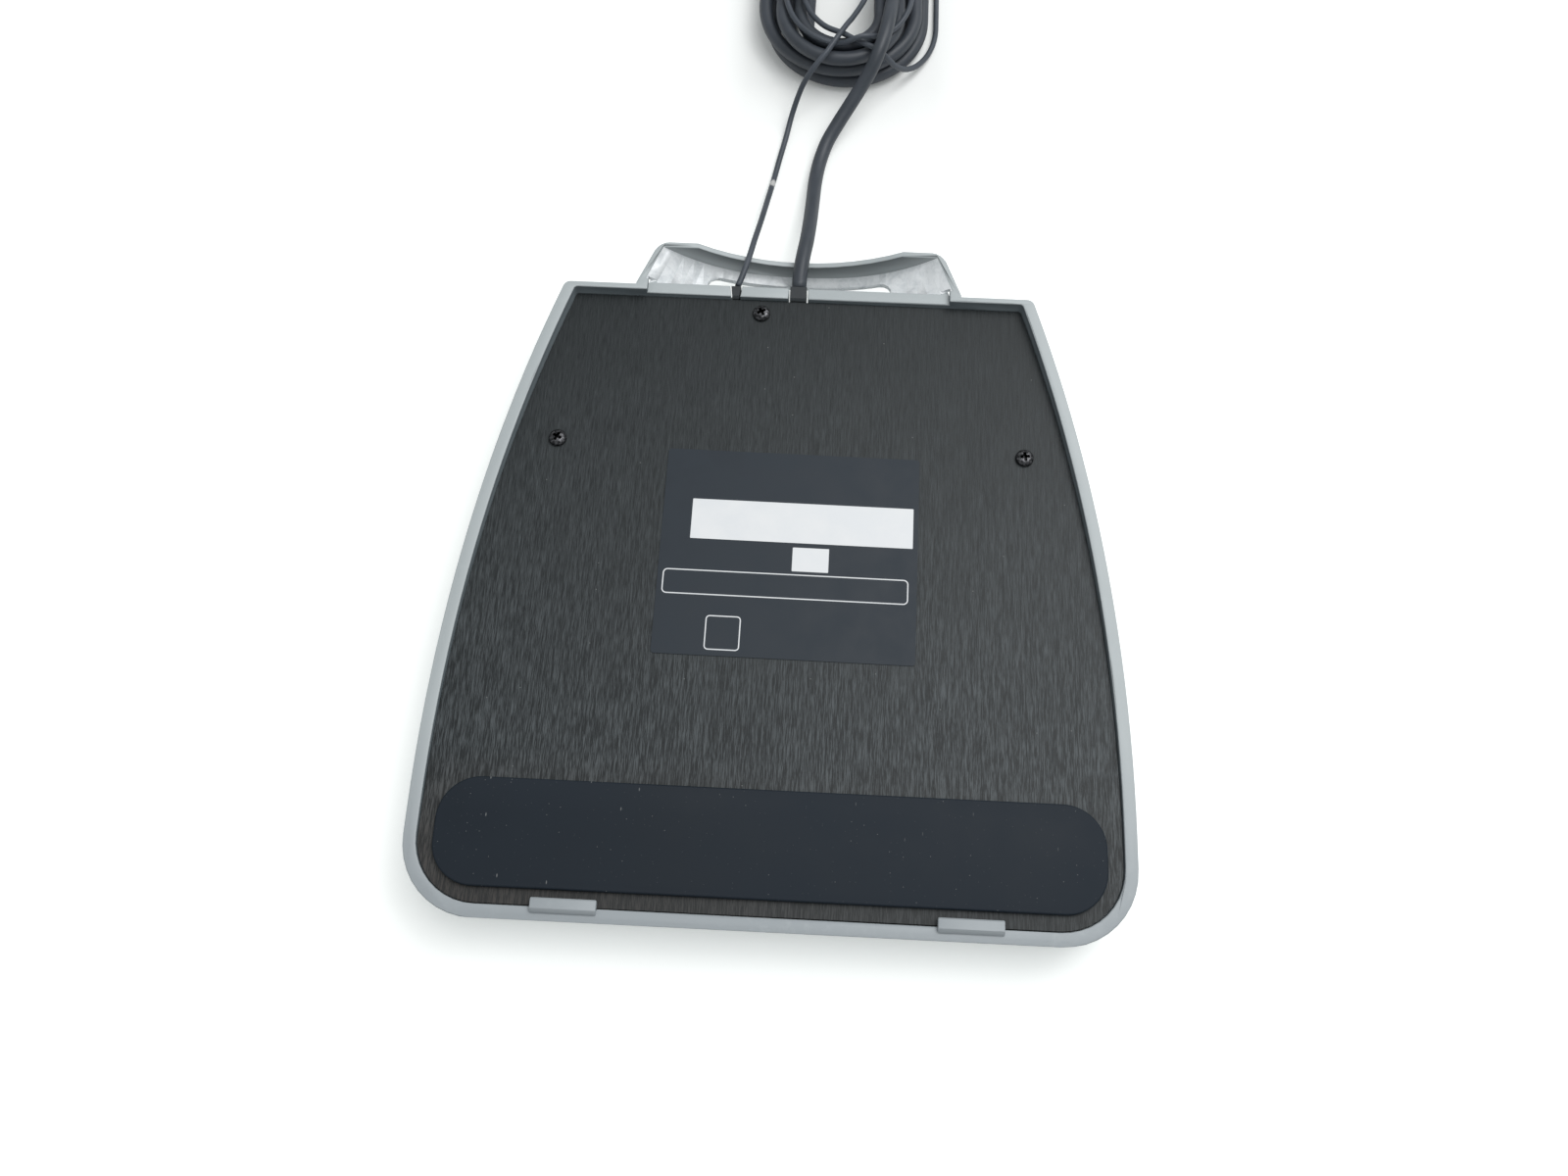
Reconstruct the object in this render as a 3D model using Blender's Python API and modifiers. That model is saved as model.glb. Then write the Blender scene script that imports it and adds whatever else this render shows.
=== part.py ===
# Counter-top signature pad, lying face down, with its USB cable and tethered stylus coiled behind it.
# Metres. X runs across the pad, Y from the palm edge towards the cords, and Z out of the underside.
# The origin is the middle of the pad's outline, on the plane of its face.
import math

import bmesh
import bpy
from mathutils import Matrix, Vector

# Outline of the pad, seen from the underside
PAD_WIDTH = 0.168
BODY_LENGTH = 0.1649
PALM_CORNER_RADIUS = 0.018
SIDE_BOW_RADIUS = 0.458
SIDE_BOW_START = 0.024
BACK_CORNER_RADIUS = 0.002
POCKET_CORNER_RADIUS = 0.001
FACE_EDGE_RADIUS = 0.0018
PALM_EDGE_LEAN = 0.0018

# Heights above the face
FACE_THICKNESS = 0.0022
PLATE_TOP = 0.015
PLATE_THICKNESS = 0.0016
RIM_ABOVE_PLATE = 0.0005
RIM_RISE = 0.0028
STOCK_HEIGHT = 0.022

# Walls and fits
SIDE_RIM = 0.003
FRONT_RIM = 0.0032
BACK_RIM = 0.0015
SHELF_WIDTH = 0.0018
FIT_GAP = 0.0003
CUT_OVERRUN = 0.002

# Loop behind the back wall
LOOP_REACH = 0.0131
LOOP_ROOT_HALF = 0.0431
LOOP_END_HALF = 0.0377
LOOP_CORNER_RADIUS = 0.0025
LOOP_CROWN = 0.0047
LOOP_ROOF = 0.0016
LOOP_SIDE_WALL = 0.0018
LOOP_END_WALL = 0.0015
LOOP_CURVE_SHARE = 2.5
LOOP_END_LIFT = 0.0012
LEDGE_THICKNESS = 0.0032
LEDGE_BELOW_RIM = 0.0019
SLOT_HALF = 0.025
SLOT_WIDTH = 0.0069
SLOT_END_RADIUS = 0.0033
CABLE_ARCH_RADIUS = 0.0556
CABLE_ARCH_DEPTH = 0.007

# Hooks over the plate's front edge
HOOK_WIDTH = 0.015
HOOK_LEFT_INSET = 0.0384
HOOK_RIGHT_INSET = 0.0380
HOOK_FRONT = 0.0018
HOOK_BACK = 0.0051
HOOK_ROOT_BACK = 0.0028
HOOK_HEIGHT = 0.0016
HOOK_ROOT_DEPTH = 0.0016
HOOK_BEVEL = 0.0009
HOOK_LIP = 0.0003

# Screws that hold the plate
PLATE_SCREW_HEAD = 0.0046
PLATE_SCREW_HEAD_HEIGHT = 0.0015
PLATE_SCREW_SHANK = 0.0026
PLATE_SCREW_LENGTH = 0.008
PLATE_BOSS = 0.007
BACK_SCREW_X = -0.0095
BACK_SCREW_FROM_BACK = 0.0058
SIDE_SCREW_INSET = 0.0245
SIDE_SCREW_FROM_BACK = 0.0448
SCREW_ARM_SHARE = 0.3
SCREW_SLOT_SHARE = 0.07

# Small screws inside
SMALL_HEAD = 0.0036
SMALL_HEAD_HEIGHT = 0.0009
SMALL_SHANK = 0.002
SMALL_LENGTH = 0.0034
SMALL_BOSS = 0.0048

# Rubber foot
FOOT_INSET = 0.007
FOOT_FROM_FRONT = 0.007
FOOT_DEPTH = 0.025
FOOT_CORNER_RADIUS = 0.010
FOOT_THICKNESS = 0.0015
FOOT_EDGE_RADIUS = 0.0005

# Label
LABEL_WIDTH = 0.0638
LABEL_DEPTH = 0.0545
LABEL_X = 0.0009
LABEL_FROM_BACK = 0.0737
LABEL_CORNER_RADIUS = 0.0012
LABEL_THICKNESS = 0.0002
LABEL_TURN_ANGLE = math.radians(-0.3)

# Signing window in the face
WINDOW_FROM_BACK = 0.0459
WINDOW_INSET = 0.042
WINDOW_DEPTH = 0.040
WINDOW_CORNER_RADIUS = 0.003
OVERLAY_BORDER = 0.006
OVERLAY_THICKNESS = 0.0007
OVERLAY_SEAT = 0.0012
GASKET_THICKNESS = 0.0008
GASKET_BORDER = 0.004
SENSOR_BORDER = 0.005
SENSOR_THICKNESS = 0.0011
BACKER_SIDE_BORDER = 0.013
BACKER_END_BORDER = 0.005
BACKER_THICKNESS = 0.0012
BACKER_SCREW_SIDE_INSET = 0.003
BACKER_SCREW_END_INSET = 0.0035

# Controller board
BOARD_WIDTH = 0.070
BOARD_DEPTH = 0.038
BOARD_THICKNESS = 0.0016
BOARD_TO_WINDOW = 0.054
BOARD_UNDERSIDE = 0.0073
BOARD_SCREW_INSET = 0.0035
CHIP_SIZE = 0.010
CHIP_HEIGHT = 0.0014
CHIP_X = 0.004
CHIP_CHAMFER = 0.00023
CHIP_FROM_MIDDLE = 0.003
CRYSTAL_LENGTH = 0.011
CRYSTAL_WIDTH = 0.0046
CRYSTAL_HEIGHT = 0.0032
CRYSTAL_X = 0.022
CRYSTAL_FROM_MIDDLE = 0.007
CRYSTAL_CORNER_SHARE = 0.49
HEADER_WIDTH = 0.010
HEADER_DEPTH = 0.006
HEADER_HEIGHT = 0.0036
HEADER_X = 0.014
TAIL_WIDTH = 0.012
TAIL_THICKNESS = 0.0003
TAIL_X = -0.020
TAIL_CONNECTOR_WIDTH = 0.015
TAIL_CONNECTOR_DEPTH = 0.004
TAIL_CONNECTOR_HEIGHT = 0.002
EDGE_SETBACK = 0.001

# Ribs inside the face, under the palm
RIB_THICKNESS = 0.0012
RIB_HEIGHT = 0.003
RIB_FIRST = 0.022
RIB_SPACING = 0.0105
RIB_COUNT = 3
RIB_INSET = 0.024

# USB cable, its relief in the ledge and its clamp
CABLE = 0.004
RELIEF_WIDTH = 0.0044
RELIEF_FLOOR = 0.0098
RELIEF_TOP = 0.0162
RELIEF_OUTSIDE = 0.0006
RELIEF_FLANGE_WIDTH = 0.009
RELIEF_FLANGE_LOW = 0.005
RELIEF_FLANGE_THICKNESS = 0.003
RELIEF_SLEEVE = 0.006
RELIEF_SLEEVE_END = 0.0048
RELIEF_SLEEVE_LENGTH = 0.005
NOTCH_FLARE = 0.0006
NOTCH_SPREAD = 0.0003
INNER_LEAD_HEIGHT = 0.0087
CLAMP_FROM_BACK = 0.0167
CLAMP_WIDTH = 0.020
CLAMP_DEPTH = 0.006
CLAMP_THICKNESS = 0.0008
CLAMP_SCREW_X = 0.0072

# Tether and its anchor in the ledge
TETHER = 0.0016
ANCHOR_X = -0.0166
ANCHOR_WIDTH = 0.0018
ANCHOR_MOUTH = 0.0026
ANCHOR_FLOOR = 0.0110
ANCHOR_TOP = 0.0162
ANCHOR_KNOB_WIDTH = 0.006
ANCHOR_KNOB_LOW = 0.007
ANCHOR_KNOB_THICKNESS = 0.003

# Coil of the USB cable: an oval of two layers that spirals in and out again
COIL_X = 0.0091
COIL_FROM_FRONT = 0.2947
COIL_STRAIGHT = 0.050
COIL_STRAIGHT_SHARE = 1 / 24
COIL_OUTER = 0.0250
COIL_PITCH = 0.0053
COIL_LAYER_STEP = 0.00445
COIL_LAYER_TURNS = 2.75
COIL_CROSS_TURNS = 0.5
COIL_START_TURNS = 0.25
COIL_LEAD_TURNS = 0.20
COIL_DROP_TURNS = 0.15
COIL_LEAD_RADIUS = 0.0144
COIL_DIP = 0.0005
COIL_STEPS = 24
COIL_LIFT = 0.0009

# At the near end each pass of the coil lies in one of two close columns: its place in the spiral,
# its column, and whether it climbs on another pass
COIL_COLUMN_STEP = 0.00486
COIL_STACK = [(0, 0, 0), (1, 0, 1), (2, 1, 1), (2, 1, 1), (1, 1, 0), (0, 0, 0)]
COIL_NEAR_TURNS = 0.75
COIL_STACK_TURNS = 0.20
COIL_CLIMB_TURNS = 0.05

# Tie round the coil's left side
TIE_THICKNESS = 0.0005
TIE_WIDTH = 0.007
TIE_CLEARANCE = 0.0006
TIE_LIFT = 0.0001

# USB plug
PLUG_BODY_LENGTH = 0.024
PLUG_BODY_WIDTH = 0.0125
PLUG_BODY_HEIGHT = 0.0078
PLUG_NECK = 0.0056
PLUG_NECK_LENGTH = 0.007
PLUG_NECK_CORNER_SHARE = 0.98
PLUG_SHELL_WIDTH = 0.012
PLUG_SHELL_HEIGHT = 0.0045
PLUG_SHELL_LENGTH = 0.0185
PLUG_SHELL_WALL = 0.0004
PLUG_TONGUE_THICKNESS = 0.0018
PLUG_TONGUE_SETBACK = 0.0012
PLUG_ROOT_DEPTH = 0.004
PLUG_X = -0.0215
PLUG_FROM_FRONT = 0.3445
TABLE_GAP = 0.0003

# Stylus
STYLUS_DIAMETER = 0.009
STYLUS_WAIST = 0.0078
STYLUS_BARREL_LENGTH = 0.084
STYLUS_TIP_LENGTH = 0.016
STYLUS_NIB = 0.0016
STYLUS_NIB_LENGTH = 0.003
STYLUS_CAP_LENGTH = 0.010
STYLUS_CAP_NECK = 0.0036
STYLUS_CAP_SHARES = (0.25, 0.45, 0.6)
STYLUS_BARREL_SHARES = (0.55, 0.75, 0.9)
STYLUS_TIP_SHARES = ((0.25, 0.92), (0.6, 0.62))
STYLUS_NIB_ROOT_SHARE = 1.3
STYLUS_EDGE = 0.0006
STYLUS_END_X = 0.028
STYLUS_FROM_FRONT = 0.3585

# Counts
CORNER_STEPS = 10
BOW_STEPS = 22
SMALL_CORNER_STEPS = 4
EDGE_STEPS = 4
LOOP_STEPS = 28
ARCH_STEPS = 72
SCREW_STEPS = 20
BOSS_STEPS = 24
STYLUS_STEPS = 24
WELD = 0.000001

# Levels and places that follow from the sizes above
PAD_LENGTH = BODY_LENGTH + LOOP_REACH
SIDE_SCREW_X = PAD_WIDTH / 2 - SIDE_SCREW_INSET
SIDE_SCREW_FROM_FRONT = BODY_LENGTH - SIDE_SCREW_FROM_BACK
BACK_SCREW_FROM_FRONT = BODY_LENGTH - BACK_SCREW_FROM_BACK
HOOK_LEFT_X = HOOK_LEFT_INSET - PAD_WIDTH / 2
HOOK_RIGHT_X = PAD_WIDTH / 2 - HOOK_RIGHT_INSET
FOOT_WIDTH = PAD_WIDTH - 2 * FOOT_INSET
LABEL_FROM_FRONT = BODY_LENGTH - LABEL_FROM_BACK
WINDOW_FROM_FRONT = BODY_LENGTH - WINDOW_FROM_BACK
WINDOW_WIDTH = PAD_WIDTH - 2 * WINDOW_INSET
BACKER_WIDTH = WINDOW_WIDTH + 2 * BACKER_SIDE_BORDER
BACKER_DEPTH = WINDOW_DEPTH + 2 * BACKER_END_BORDER
BACKER_SCREW_X = BACKER_WIDTH / 2 - BACKER_SCREW_SIDE_INSET
BACKER_SCREW_Y = BACKER_DEPTH / 2 - BACKER_SCREW_END_INSET
BOARD_FROM_FRONT = WINDOW_FROM_FRONT - BOARD_TO_WINDOW
CLAMP_FROM_FRONT = BODY_LENGTH - CLAMP_FROM_BACK
RIB_HALF = PAD_WIDTH / 2 - RIB_INSET
PLATE_BOTTOM = PLATE_TOP - PLATE_THICKNESS
SHELF_TOP = PLATE_BOTTOM - FIT_GAP
INNER_FLOOR = FACE_THICKNESS
RIM_SLOPE = math.atan2(RIM_RISE, BODY_LENGTH)
RIM_BACK_HEIGHT = PLATE_TOP + RIM_ABOVE_PLATE + RIM_RISE
LEDGE_TOP = RIM_BACK_HEIGHT - LEDGE_BELOW_RIM
POCKET_BACK = BODY_LENGTH - BACK_RIM
LEDGE_BACK = POCKET_BACK + LEDGE_THICKNESS
GASKET_LOW = INNER_FLOOR + FIT_GAP
SENSOR_LOW = GASKET_LOW + GASKET_THICKNESS + FIT_GAP
SENSOR_HIGH = SENSOR_LOW + SENSOR_THICKNESS
BACKER_LOW = SENSOR_HIGH + FIT_GAP
BACKER_HIGH = BACKER_LOW + BACKER_THICKNESS
BOARD_TOP = BOARD_UNDERSIDE + BOARD_THICKNESS
BOARD_BACK = BOARD_FROM_FRONT + BOARD_DEPTH / 2
LAYER_ONE = COIL_LIFT + CABLE / 2
LAYER_TWO = LAYER_ONE + COIL_LAYER_STEP
PILE_TOP = LAYER_TWO + CABLE / 2
TETHER_ON_PILE = PILE_TOP + FIT_GAP + TETHER / 2
LEAD_ON_PILE = TETHER_ON_PILE + TETHER / 2 + FIT_GAP + CABLE / 2
COIL_INNER = COIL_OUTER - COIL_PITCH * COIL_LAYER_TURNS
PLUG_CENTRE = TABLE_GAP + PLUG_BODY_HEIGHT / 2

# Route of the USB cable from its relief to the coil, chosen by hand
USB_ROUTE = [
    (0.0001, 0.0785, 0.0140),
    (0.0001, 0.0825, 0.0140),
    (0.0006, 0.0882, 0.0140),
    (0.0015, 0.0953, 0.0128),
    (0.0021, 0.1038, 0.0099),
    (0.0025, 0.1129, 0.0063),
    (0.0029, 0.1216, 0.0036),
    (0.0039, 0.1292, 0.0026),
    (0.0058, 0.1355, 0.0035),
    (0.0085, 0.1400, 0.0057),
    (0.0115, 0.1443, 0.0082),
    (0.0146, 0.1484, 0.0113),
    (0.0174, 0.1522, 0.0148),
    (0.0194, 0.1563, 0.0177),
    (0.0210, 0.1620, 0.0188),
    (0.0221, 0.1687, 0.0184),
    (0.0230, 0.1769, 0.0160),
    (0.0235, 0.1868, 0.0147),
]

# Route of the tether from its anchor to its loops on the coil
TETHER_ROUTE = [
    (-0.0163, 0.0783, 0.0151),
    (-0.0154, 0.0813, 0.0149),
    (-0.0140, 0.0870, 0.0147),
    (-0.0128, 0.0944, 0.0130),
    (-0.0115, 0.1042, 0.0088),
    (-0.0103, 0.1145, 0.0042),
    (-0.0090, 0.1237, 0.0014),
    (-0.0077, 0.1311, 0.0012),
    (-0.0063, 0.1384, 0.0012),
    (-0.0050, 0.1443, 0.0031),
    (-0.0035, 0.1477, 0.0067),
    (-0.0018, 0.1501, 0.0104),
    (0.0011, 0.1526, 0.0145),
    (0.0046, 0.1563, 0.0168),
    (0.0081, 0.1625, 0.0174),
    (0.0100, 0.1668, 0.0164),
    (0.0118, 0.1709, 0.0151),
    (0.0151, 0.1798, 0.0131),
    (0.0168, 0.1870, 0.0130),
    (0.0184, 0.1950, 0.0124),
]

# Loops of the tether round the coil: turns, radius and height at the places where they change
TETHER_LOOPS = [
    (0.00, 0.0108, 0.0110),
    (0.05, 0.0109, 0.0105),
    (0.25, 0.0114, 0.01045),
    (0.50, 0.0121, 0.0107),
    (0.52, 0.0122, 0.0129),
    (0.542, 0.0123, 0.0147),
    (0.60, 0.0126, 0.0149),
    (0.65, 0.0134, 0.0149),
    (0.70, 0.0146, 0.0148),
    (0.75, 0.0160, 0.0149),
    (0.775, 0.0186, 0.0150),
    (0.792, 0.0209, 0.0152),
    (0.811, 0.0241, 0.0148),
    (0.829, 0.0266, 0.0098),
    (0.855, 0.0272, 0.0048),
    (0.894, 0.0276, 0.0020),
    (0.935, 0.0279, 0.0012),
    (1.04, 0.0281, 0.0012),
    (1.08, 0.0283, 0.0024),
    (1.115, 0.0269, 0.0072),
    (1.15, 0.0240, 0.0102),
    (1.19, 0.0208, 0.01045),
    (1.25, 0.0186, 0.01045),
    (1.50, 0.0173, 0.0107),
    (1.52, 0.0173, 0.0129),
    (1.542, 0.0174, 0.0147),
    (1.60, 0.0178, 0.0149),
    (1.65, 0.0187, 0.0149),
    (1.70, 0.0195, 0.0149),
    (1.742, 0.0198, 0.0149),
    (1.764, 0.0199, 0.0164),
    (1.785, 0.0200, 0.0177),
    (1.82, 0.0201, 0.0159),
    (1.86, 0.0200, 0.0149),
    (1.91, 0.0197, 0.0148),
    (1.958, 0.0195, 0.0143),
    (1.98, 0.0194, 0.0125),
    (2.00, 0.0193, 0.0107),
]

# Route of the tether from its loops to the stylus
TETHER_END_ROUTE = [
    (0.0300, 0.2140, 0.0106),
    (0.0320, 0.2195, 0.0105),
    (0.0342, 0.2236, 0.0092),
    (0.0374, 0.2284, 0.0056),
    (0.0402, 0.2328, 0.0027),
    (0.0424, 0.2382, 0.0013),
    (0.0436, 0.2460, 0.0012),
    (0.0436, 0.2540, 0.0012),
    (0.0424, 0.2610, 0.0017),
    (0.0390, 0.2666, 0.0031),
    (0.0345, 0.2692, 0.0044),
]

# Lead inside the housing, from the relief to the board's header
INNER_LEAD_ROUTE = [
    (0.0000, 0.0580, 0.0087),
    (0.0001, 0.0530, 0.0087),
    (0.0005, 0.0440, 0.0089),
    (0.0030, 0.0320, 0.0092),
    (0.0080, 0.0170, 0.0096),
    (0.0125, 0.0070, 0.0103),
    (0.0140, 0.0000, 0.0109),
]

# Colour, roughness and metallic value of each material
MATERIALS = {
    "grey_housing": ((0.36, 0.37, 0.39), 0.5, 0.0),
    "black_plate": ((0.03, 0.03, 0.03), 0.45, 0.6),
    "black_rubber": ((0.02, 0.023, 0.028), 0.75, 0.0),
    "label_film": ((0.035, 0.037, 0.042), 0.5, 0.0),
    "black_screw": ((0.015, 0.015, 0.015), 0.3, 0.7),
    "black_cable": ((0.03, 0.032, 0.036), 0.45, 0.0),
    "black_plastic": ((0.02, 0.02, 0.022), 0.5, 0.0),
    "clear_film": ((0.10, 0.11, 0.12), 0.2, 0.0),
    "grey_foam": ((0.12, 0.12, 0.12), 0.9, 0.0),
    "sensor_glass": ((0.45, 0.50, 0.48), 0.1, 0.0),
    "bright_steel": ((0.62, 0.62, 0.62), 0.3, 1.0),
    "flex_film": ((0.55, 0.30, 0.08), 0.4, 0.0),
    "green_board": ((0.02, 0.16, 0.07), 0.45, 0.0),
    "white_plastic": ((0.75, 0.74, 0.70), 0.5, 0.0),
}

# Parts are in one collection and the shapes that cut or join them in another
PARTS = "signature_pad"
CUTTERS = "cutters"


def from_front(distance):
    """Y of a place that is given by its distance from the palm edge."""
    return distance - PAD_LENGTH / 2


def start_scene():
    for old in list(bpy.data.objects):
        bpy.data.objects.remove(old, do_unlink=True)
    for name in (PARTS, CUTTERS):
        group = bpy.data.collections.get(name) or bpy.data.collections.new(name)
        if name not in bpy.context.scene.collection.children:
            bpy.context.scene.collection.children.link(group)
    for name, (colour, roughness, metallic) in MATERIALS.items():
        surface = bpy.data.materials.get(name) or bpy.data.materials.new(name)
        surface.use_nodes = True
        shader = surface.node_tree.nodes["Principled BSDF"]
        shader.inputs["Base Color"].default_value = (*colour, 1)
        shader.inputs["Roughness"].default_value = roughness
        shader.inputs["Metallic"].default_value = metallic


def place(name, data, surface=None):
    """Adds an object: a part when it has a material, and otherwise a cutter."""
    thing = bpy.data.objects.new(name, data)
    group = PARTS if surface else CUTTERS
    bpy.data.collections[group].objects.link(thing)
    if surface:
        data.materials.append(bpy.data.materials[surface])
    else:
        thing.hide_render = True
        thing.display_type = "WIRE"
    return thing


def mesh_of(name, bm):
    bm.normal_update()
    bmesh.ops.recalc_face_normals(bm, faces=bm.faces)
    mesh = bpy.data.meshes.new(name)
    bm.to_mesh(mesh)
    bm.free()
    return mesh


def box(name, low, high, surface=None):
    bm = bmesh.new()
    size = Vector(high) - Vector(low)
    middle = (Vector(high) + Vector(low)) / 2
    bmesh.ops.create_cube(bm, size=1, matrix=Matrix.Translation(middle) @ Matrix.Diagonal((*size, 1)))
    return place(name, mesh_of(name, bm), surface)


def cylinder(name, x, y, low, high, radius, surface=None, end_radius=None, steps=BOSS_STEPS):
    bm = bmesh.new()
    bmesh.ops.create_cone(
        bm,
        cap_ends=True,
        segments=steps,
        radius1=radius,
        radius2=end_radius or radius,
        depth=high - low,
        matrix=Matrix.Translation((x, y, (low + high) / 2)),
    )
    return place(name, mesh_of(name, bm), surface)


def arc(x, y, radius, start, end, steps):
    angles = [start + (end - start) * i / steps for i in range(steps + 1)]
    return [(x + radius * math.cos(a), y + radius * math.sin(a)) for a in angles]


def rounded_rectangle(width, depth, radius, x=0, y=0, steps=SMALL_CORNER_STEPS):
    points = []
    for i, (sx, sy) in enumerate(((1, -1), (1, 1), (-1, 1), (-1, -1))):
        corner = (x + sx * (width / 2 - radius), y + sy * (depth / 2 - radius))
        points += arc(*corner, radius, (i - 1) * math.pi / 2, i * math.pi / 2, steps)
    return points


def pad_outline(side, front, back, corner):
    """The pad's outline, drawn in from its sides, its palm edge and its back edge."""
    radius = PALM_CORNER_RADIUS - side
    right = arc(
        PAD_WIDTH / 2 - side - radius, from_front(front + radius), radius, -math.pi / 2, 0, CORNER_STEPS
    )
    bow = SIDE_BOW_RADIUS - side
    bow_x = PAD_WIDTH / 2 - SIDE_BOW_RADIUS
    rise = BODY_LENGTH - back - corner - SIDE_BOW_START
    corner_x = bow_x + math.sqrt((bow - corner) ** 2 - rise**2)
    turn = math.atan2(rise, corner_x - bow_x)
    right += arc(bow_x, from_front(SIDE_BOW_START), bow, 0, turn, BOW_STEPS)
    corner_y = from_front(BODY_LENGTH - back - corner)
    right += arc(corner_x, corner_y, corner, turn, math.pi / 2, SMALL_CORNER_STEPS)[1:]
    return right + [(-x, y) for x, y in reversed(right)]


def loft(name, rings, surface=None):
    """A closed solid through rings that have the same number of points."""
    bm = bmesh.new()
    rows = [[bm.verts.new(point) for point in ring] for ring in rings]
    for low, high in zip(rows, rows[1:]):
        for i, corner in enumerate(low):
            j = (i + 1) % len(low)
            bm.faces.new((corner, low[j], high[j], high[i]))
    bm.faces.new(rows[0])
    bm.faces.new(rows[-1])
    bmesh.ops.triangulate(bm, faces=bm.faces)
    return place(name, mesh_of(name, bm), surface)


def prism(name, outlines, low, high, surface=None, across=None):
    """Flat outlines as a filled curve with thickness, made a mesh; across turns it off the XY plane."""
    curve = bpy.data.curves.new(name, "CURVE")
    curve.dimensions = "2D"
    curve.fill_mode = "BOTH"
    curve.extrude = (high - low) / 2
    for outline in outlines:
        spline = curve.splines.new("POLY")
        spline.points.add(len(outline) - 1)
        spline.use_cyclic_u = True
        for point, (u, v) in zip(spline.points, outline):
            point.co = (u, v, 0, 1)
    drawing = bpy.data.objects.new(name, curve)
    mesh = bpy.data.meshes.new_from_object(drawing)
    bm = bmesh.new()
    bm.from_mesh(mesh)
    bpy.data.meshes.remove(mesh)
    bpy.data.objects.remove(drawing)
    bpy.data.curves.remove(curve)
    bmesh.ops.remove_doubles(bm, verts=bm.verts, dist=WELD)
    bm.transform(Matrix.Translation((0, 0, (low + high) / 2)))
    if across:
        bm.transform(across)
    return place(name, mesh_of(name, bm), surface)


# A drawing in Y and Z that is extruded along X, and one in X and Z extruded along Y
ALONG_X = Matrix(((0, 0, 1, 0), (1, 0, 0, 0), (0, 1, 0, 0), (0, 0, 0, 1)))
ALONG_Y = Matrix(((1, 0, 0, 0), (0, 0, 1, 0), (0, 1, 0, 0), (0, 0, 0, 1)))


def turned(name, profile, surface, steps):
    """A profile of radius and height, from top to bottom, turned round Z."""
    mesh = bpy.data.meshes.new(name)
    mesh.from_pydata([(r, 0, z) for r, z in profile], [(i, i + 1) for i in range(len(profile) - 1)], [])
    thing = place(name, mesh, surface)
    screw = thing.modifiers.new("turn", "SCREW")
    screw.steps = steps
    screw.render_steps = steps
    screw.use_merge_vertices = True
    screw.merge_threshold = WELD
    return thing


def tube(name, points, diameter, resolution, surface):
    curve = bpy.data.curves.new(name, "CURVE")
    curve.dimensions = "3D"
    curve.bevel_depth = diameter / 2
    curve.bevel_resolution = resolution
    curve.use_fill_caps = True
    spline = curve.splines.new("POLY")
    spline.points.add(len(points) - 1)
    for corner, point in zip(spline.points, points):
        corner.co = (*point, 1)
    return place(name, curve, surface)


def combine(target, tool, operation):
    step = target.modifiers.new(tool.name, "BOOLEAN")
    step.operation = operation
    step.solver = "EXACT"
    step.object = tool


def add(target, *tools):
    for tool in tools:
        combine(target, tool, "UNION")


def cut(target, *tools):
    for tool in tools:
        combine(target, tool, "DIFFERENCE")


def smooth(points, spacing):
    """Points about a spacing apart on a smooth curve through the given ones."""
    points = [Vector(point) for point in points]
    lengths = [(b - a).length for a, b in zip(points, points[1:])]
    slopes = []
    for i, point in enumerate(points):
        before, after = max(i - 1, 0), min(i + 1, len(points) - 1)
        slopes.append((points[after] - points[before]) / sum(lengths[before:after]))
    line = [points[0]]
    for i, length in enumerate(lengths):
        steps = max(1, round(length / spacing))
        for k in range(1, steps + 1):
            t = k / steps
            line.append(
                points[i] * (1 + 2 * t) * (1 - t) ** 2
                + points[i + 1] * t * t * (3 - 2 * t)
                + slopes[i] * length * t * (1 - t) ** 2
                - slopes[i + 1] * length * t * t * (1 - t)
            )
    return line


def ease(share):
    share = min(max(share, 0), 1)
    return (1 - math.cos(math.pi * share)) / 2


def line_length(points):
    return sum((Vector(b) - Vector(a)).length for a, b in zip(points, points[1:]))


# Housing: shell, loop and hooks
def loop_section(y, half, crown):
    """One cross-section of the loop: its arched roof below and the stock's top above."""
    rim = RIM_BACK_HEIGHT
    xs = [half * (2 * i / LOOP_STEPS - 1) for i in range(LOOP_STEPS + 1)]
    roof = [(x, y, crown + (rim - crown) * abs(x / half) ** LOOP_CURVE_SHARE) for x in xs]
    return roof + [(half, y, STOCK_HEIGHT), (-half, y, STOCK_HEIGHT)]


def loop_half(distance):
    """Half-width of the loop at a distance from the palm edge."""
    share = (distance - BODY_LENGTH) / (PAD_LENGTH - BODY_LENGTH)
    return LOOP_ROOT_HALF + (LOOP_END_HALF - LOOP_ROOT_HALF) * share


def loop_stock():
    root = BODY_LENGTH - BACK_RIM / 2
    sections = [loop_section(from_front(root), loop_half(root), LOOP_CROWN)]
    for i in range(EDGE_STEPS + 1):
        angle = math.pi / 2 * i / EDGE_STEPS
        distance = PAD_LENGTH - LOOP_CORNER_RADIUS * (1 - math.sin(angle))
        pull = 1 - math.cos(angle)
        half = loop_half(distance) - LOOP_CORNER_RADIUS * pull
        sections.append(loop_section(from_front(distance), half, LOOP_CROWN + LOOP_END_LIFT * pull))
    return loft("loop_stock", sections)


def loop_hollow():
    ends = (LEDGE_BACK, PAD_LENGTH - LOOP_END_WALL)
    crown = LOOP_CROWN + LOOP_ROOF
    sections = [loop_section(from_front(d), loop_half(d) - LOOP_SIDE_WALL, crown) for d in ends]
    return loft("loop_hollow", sections)


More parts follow.
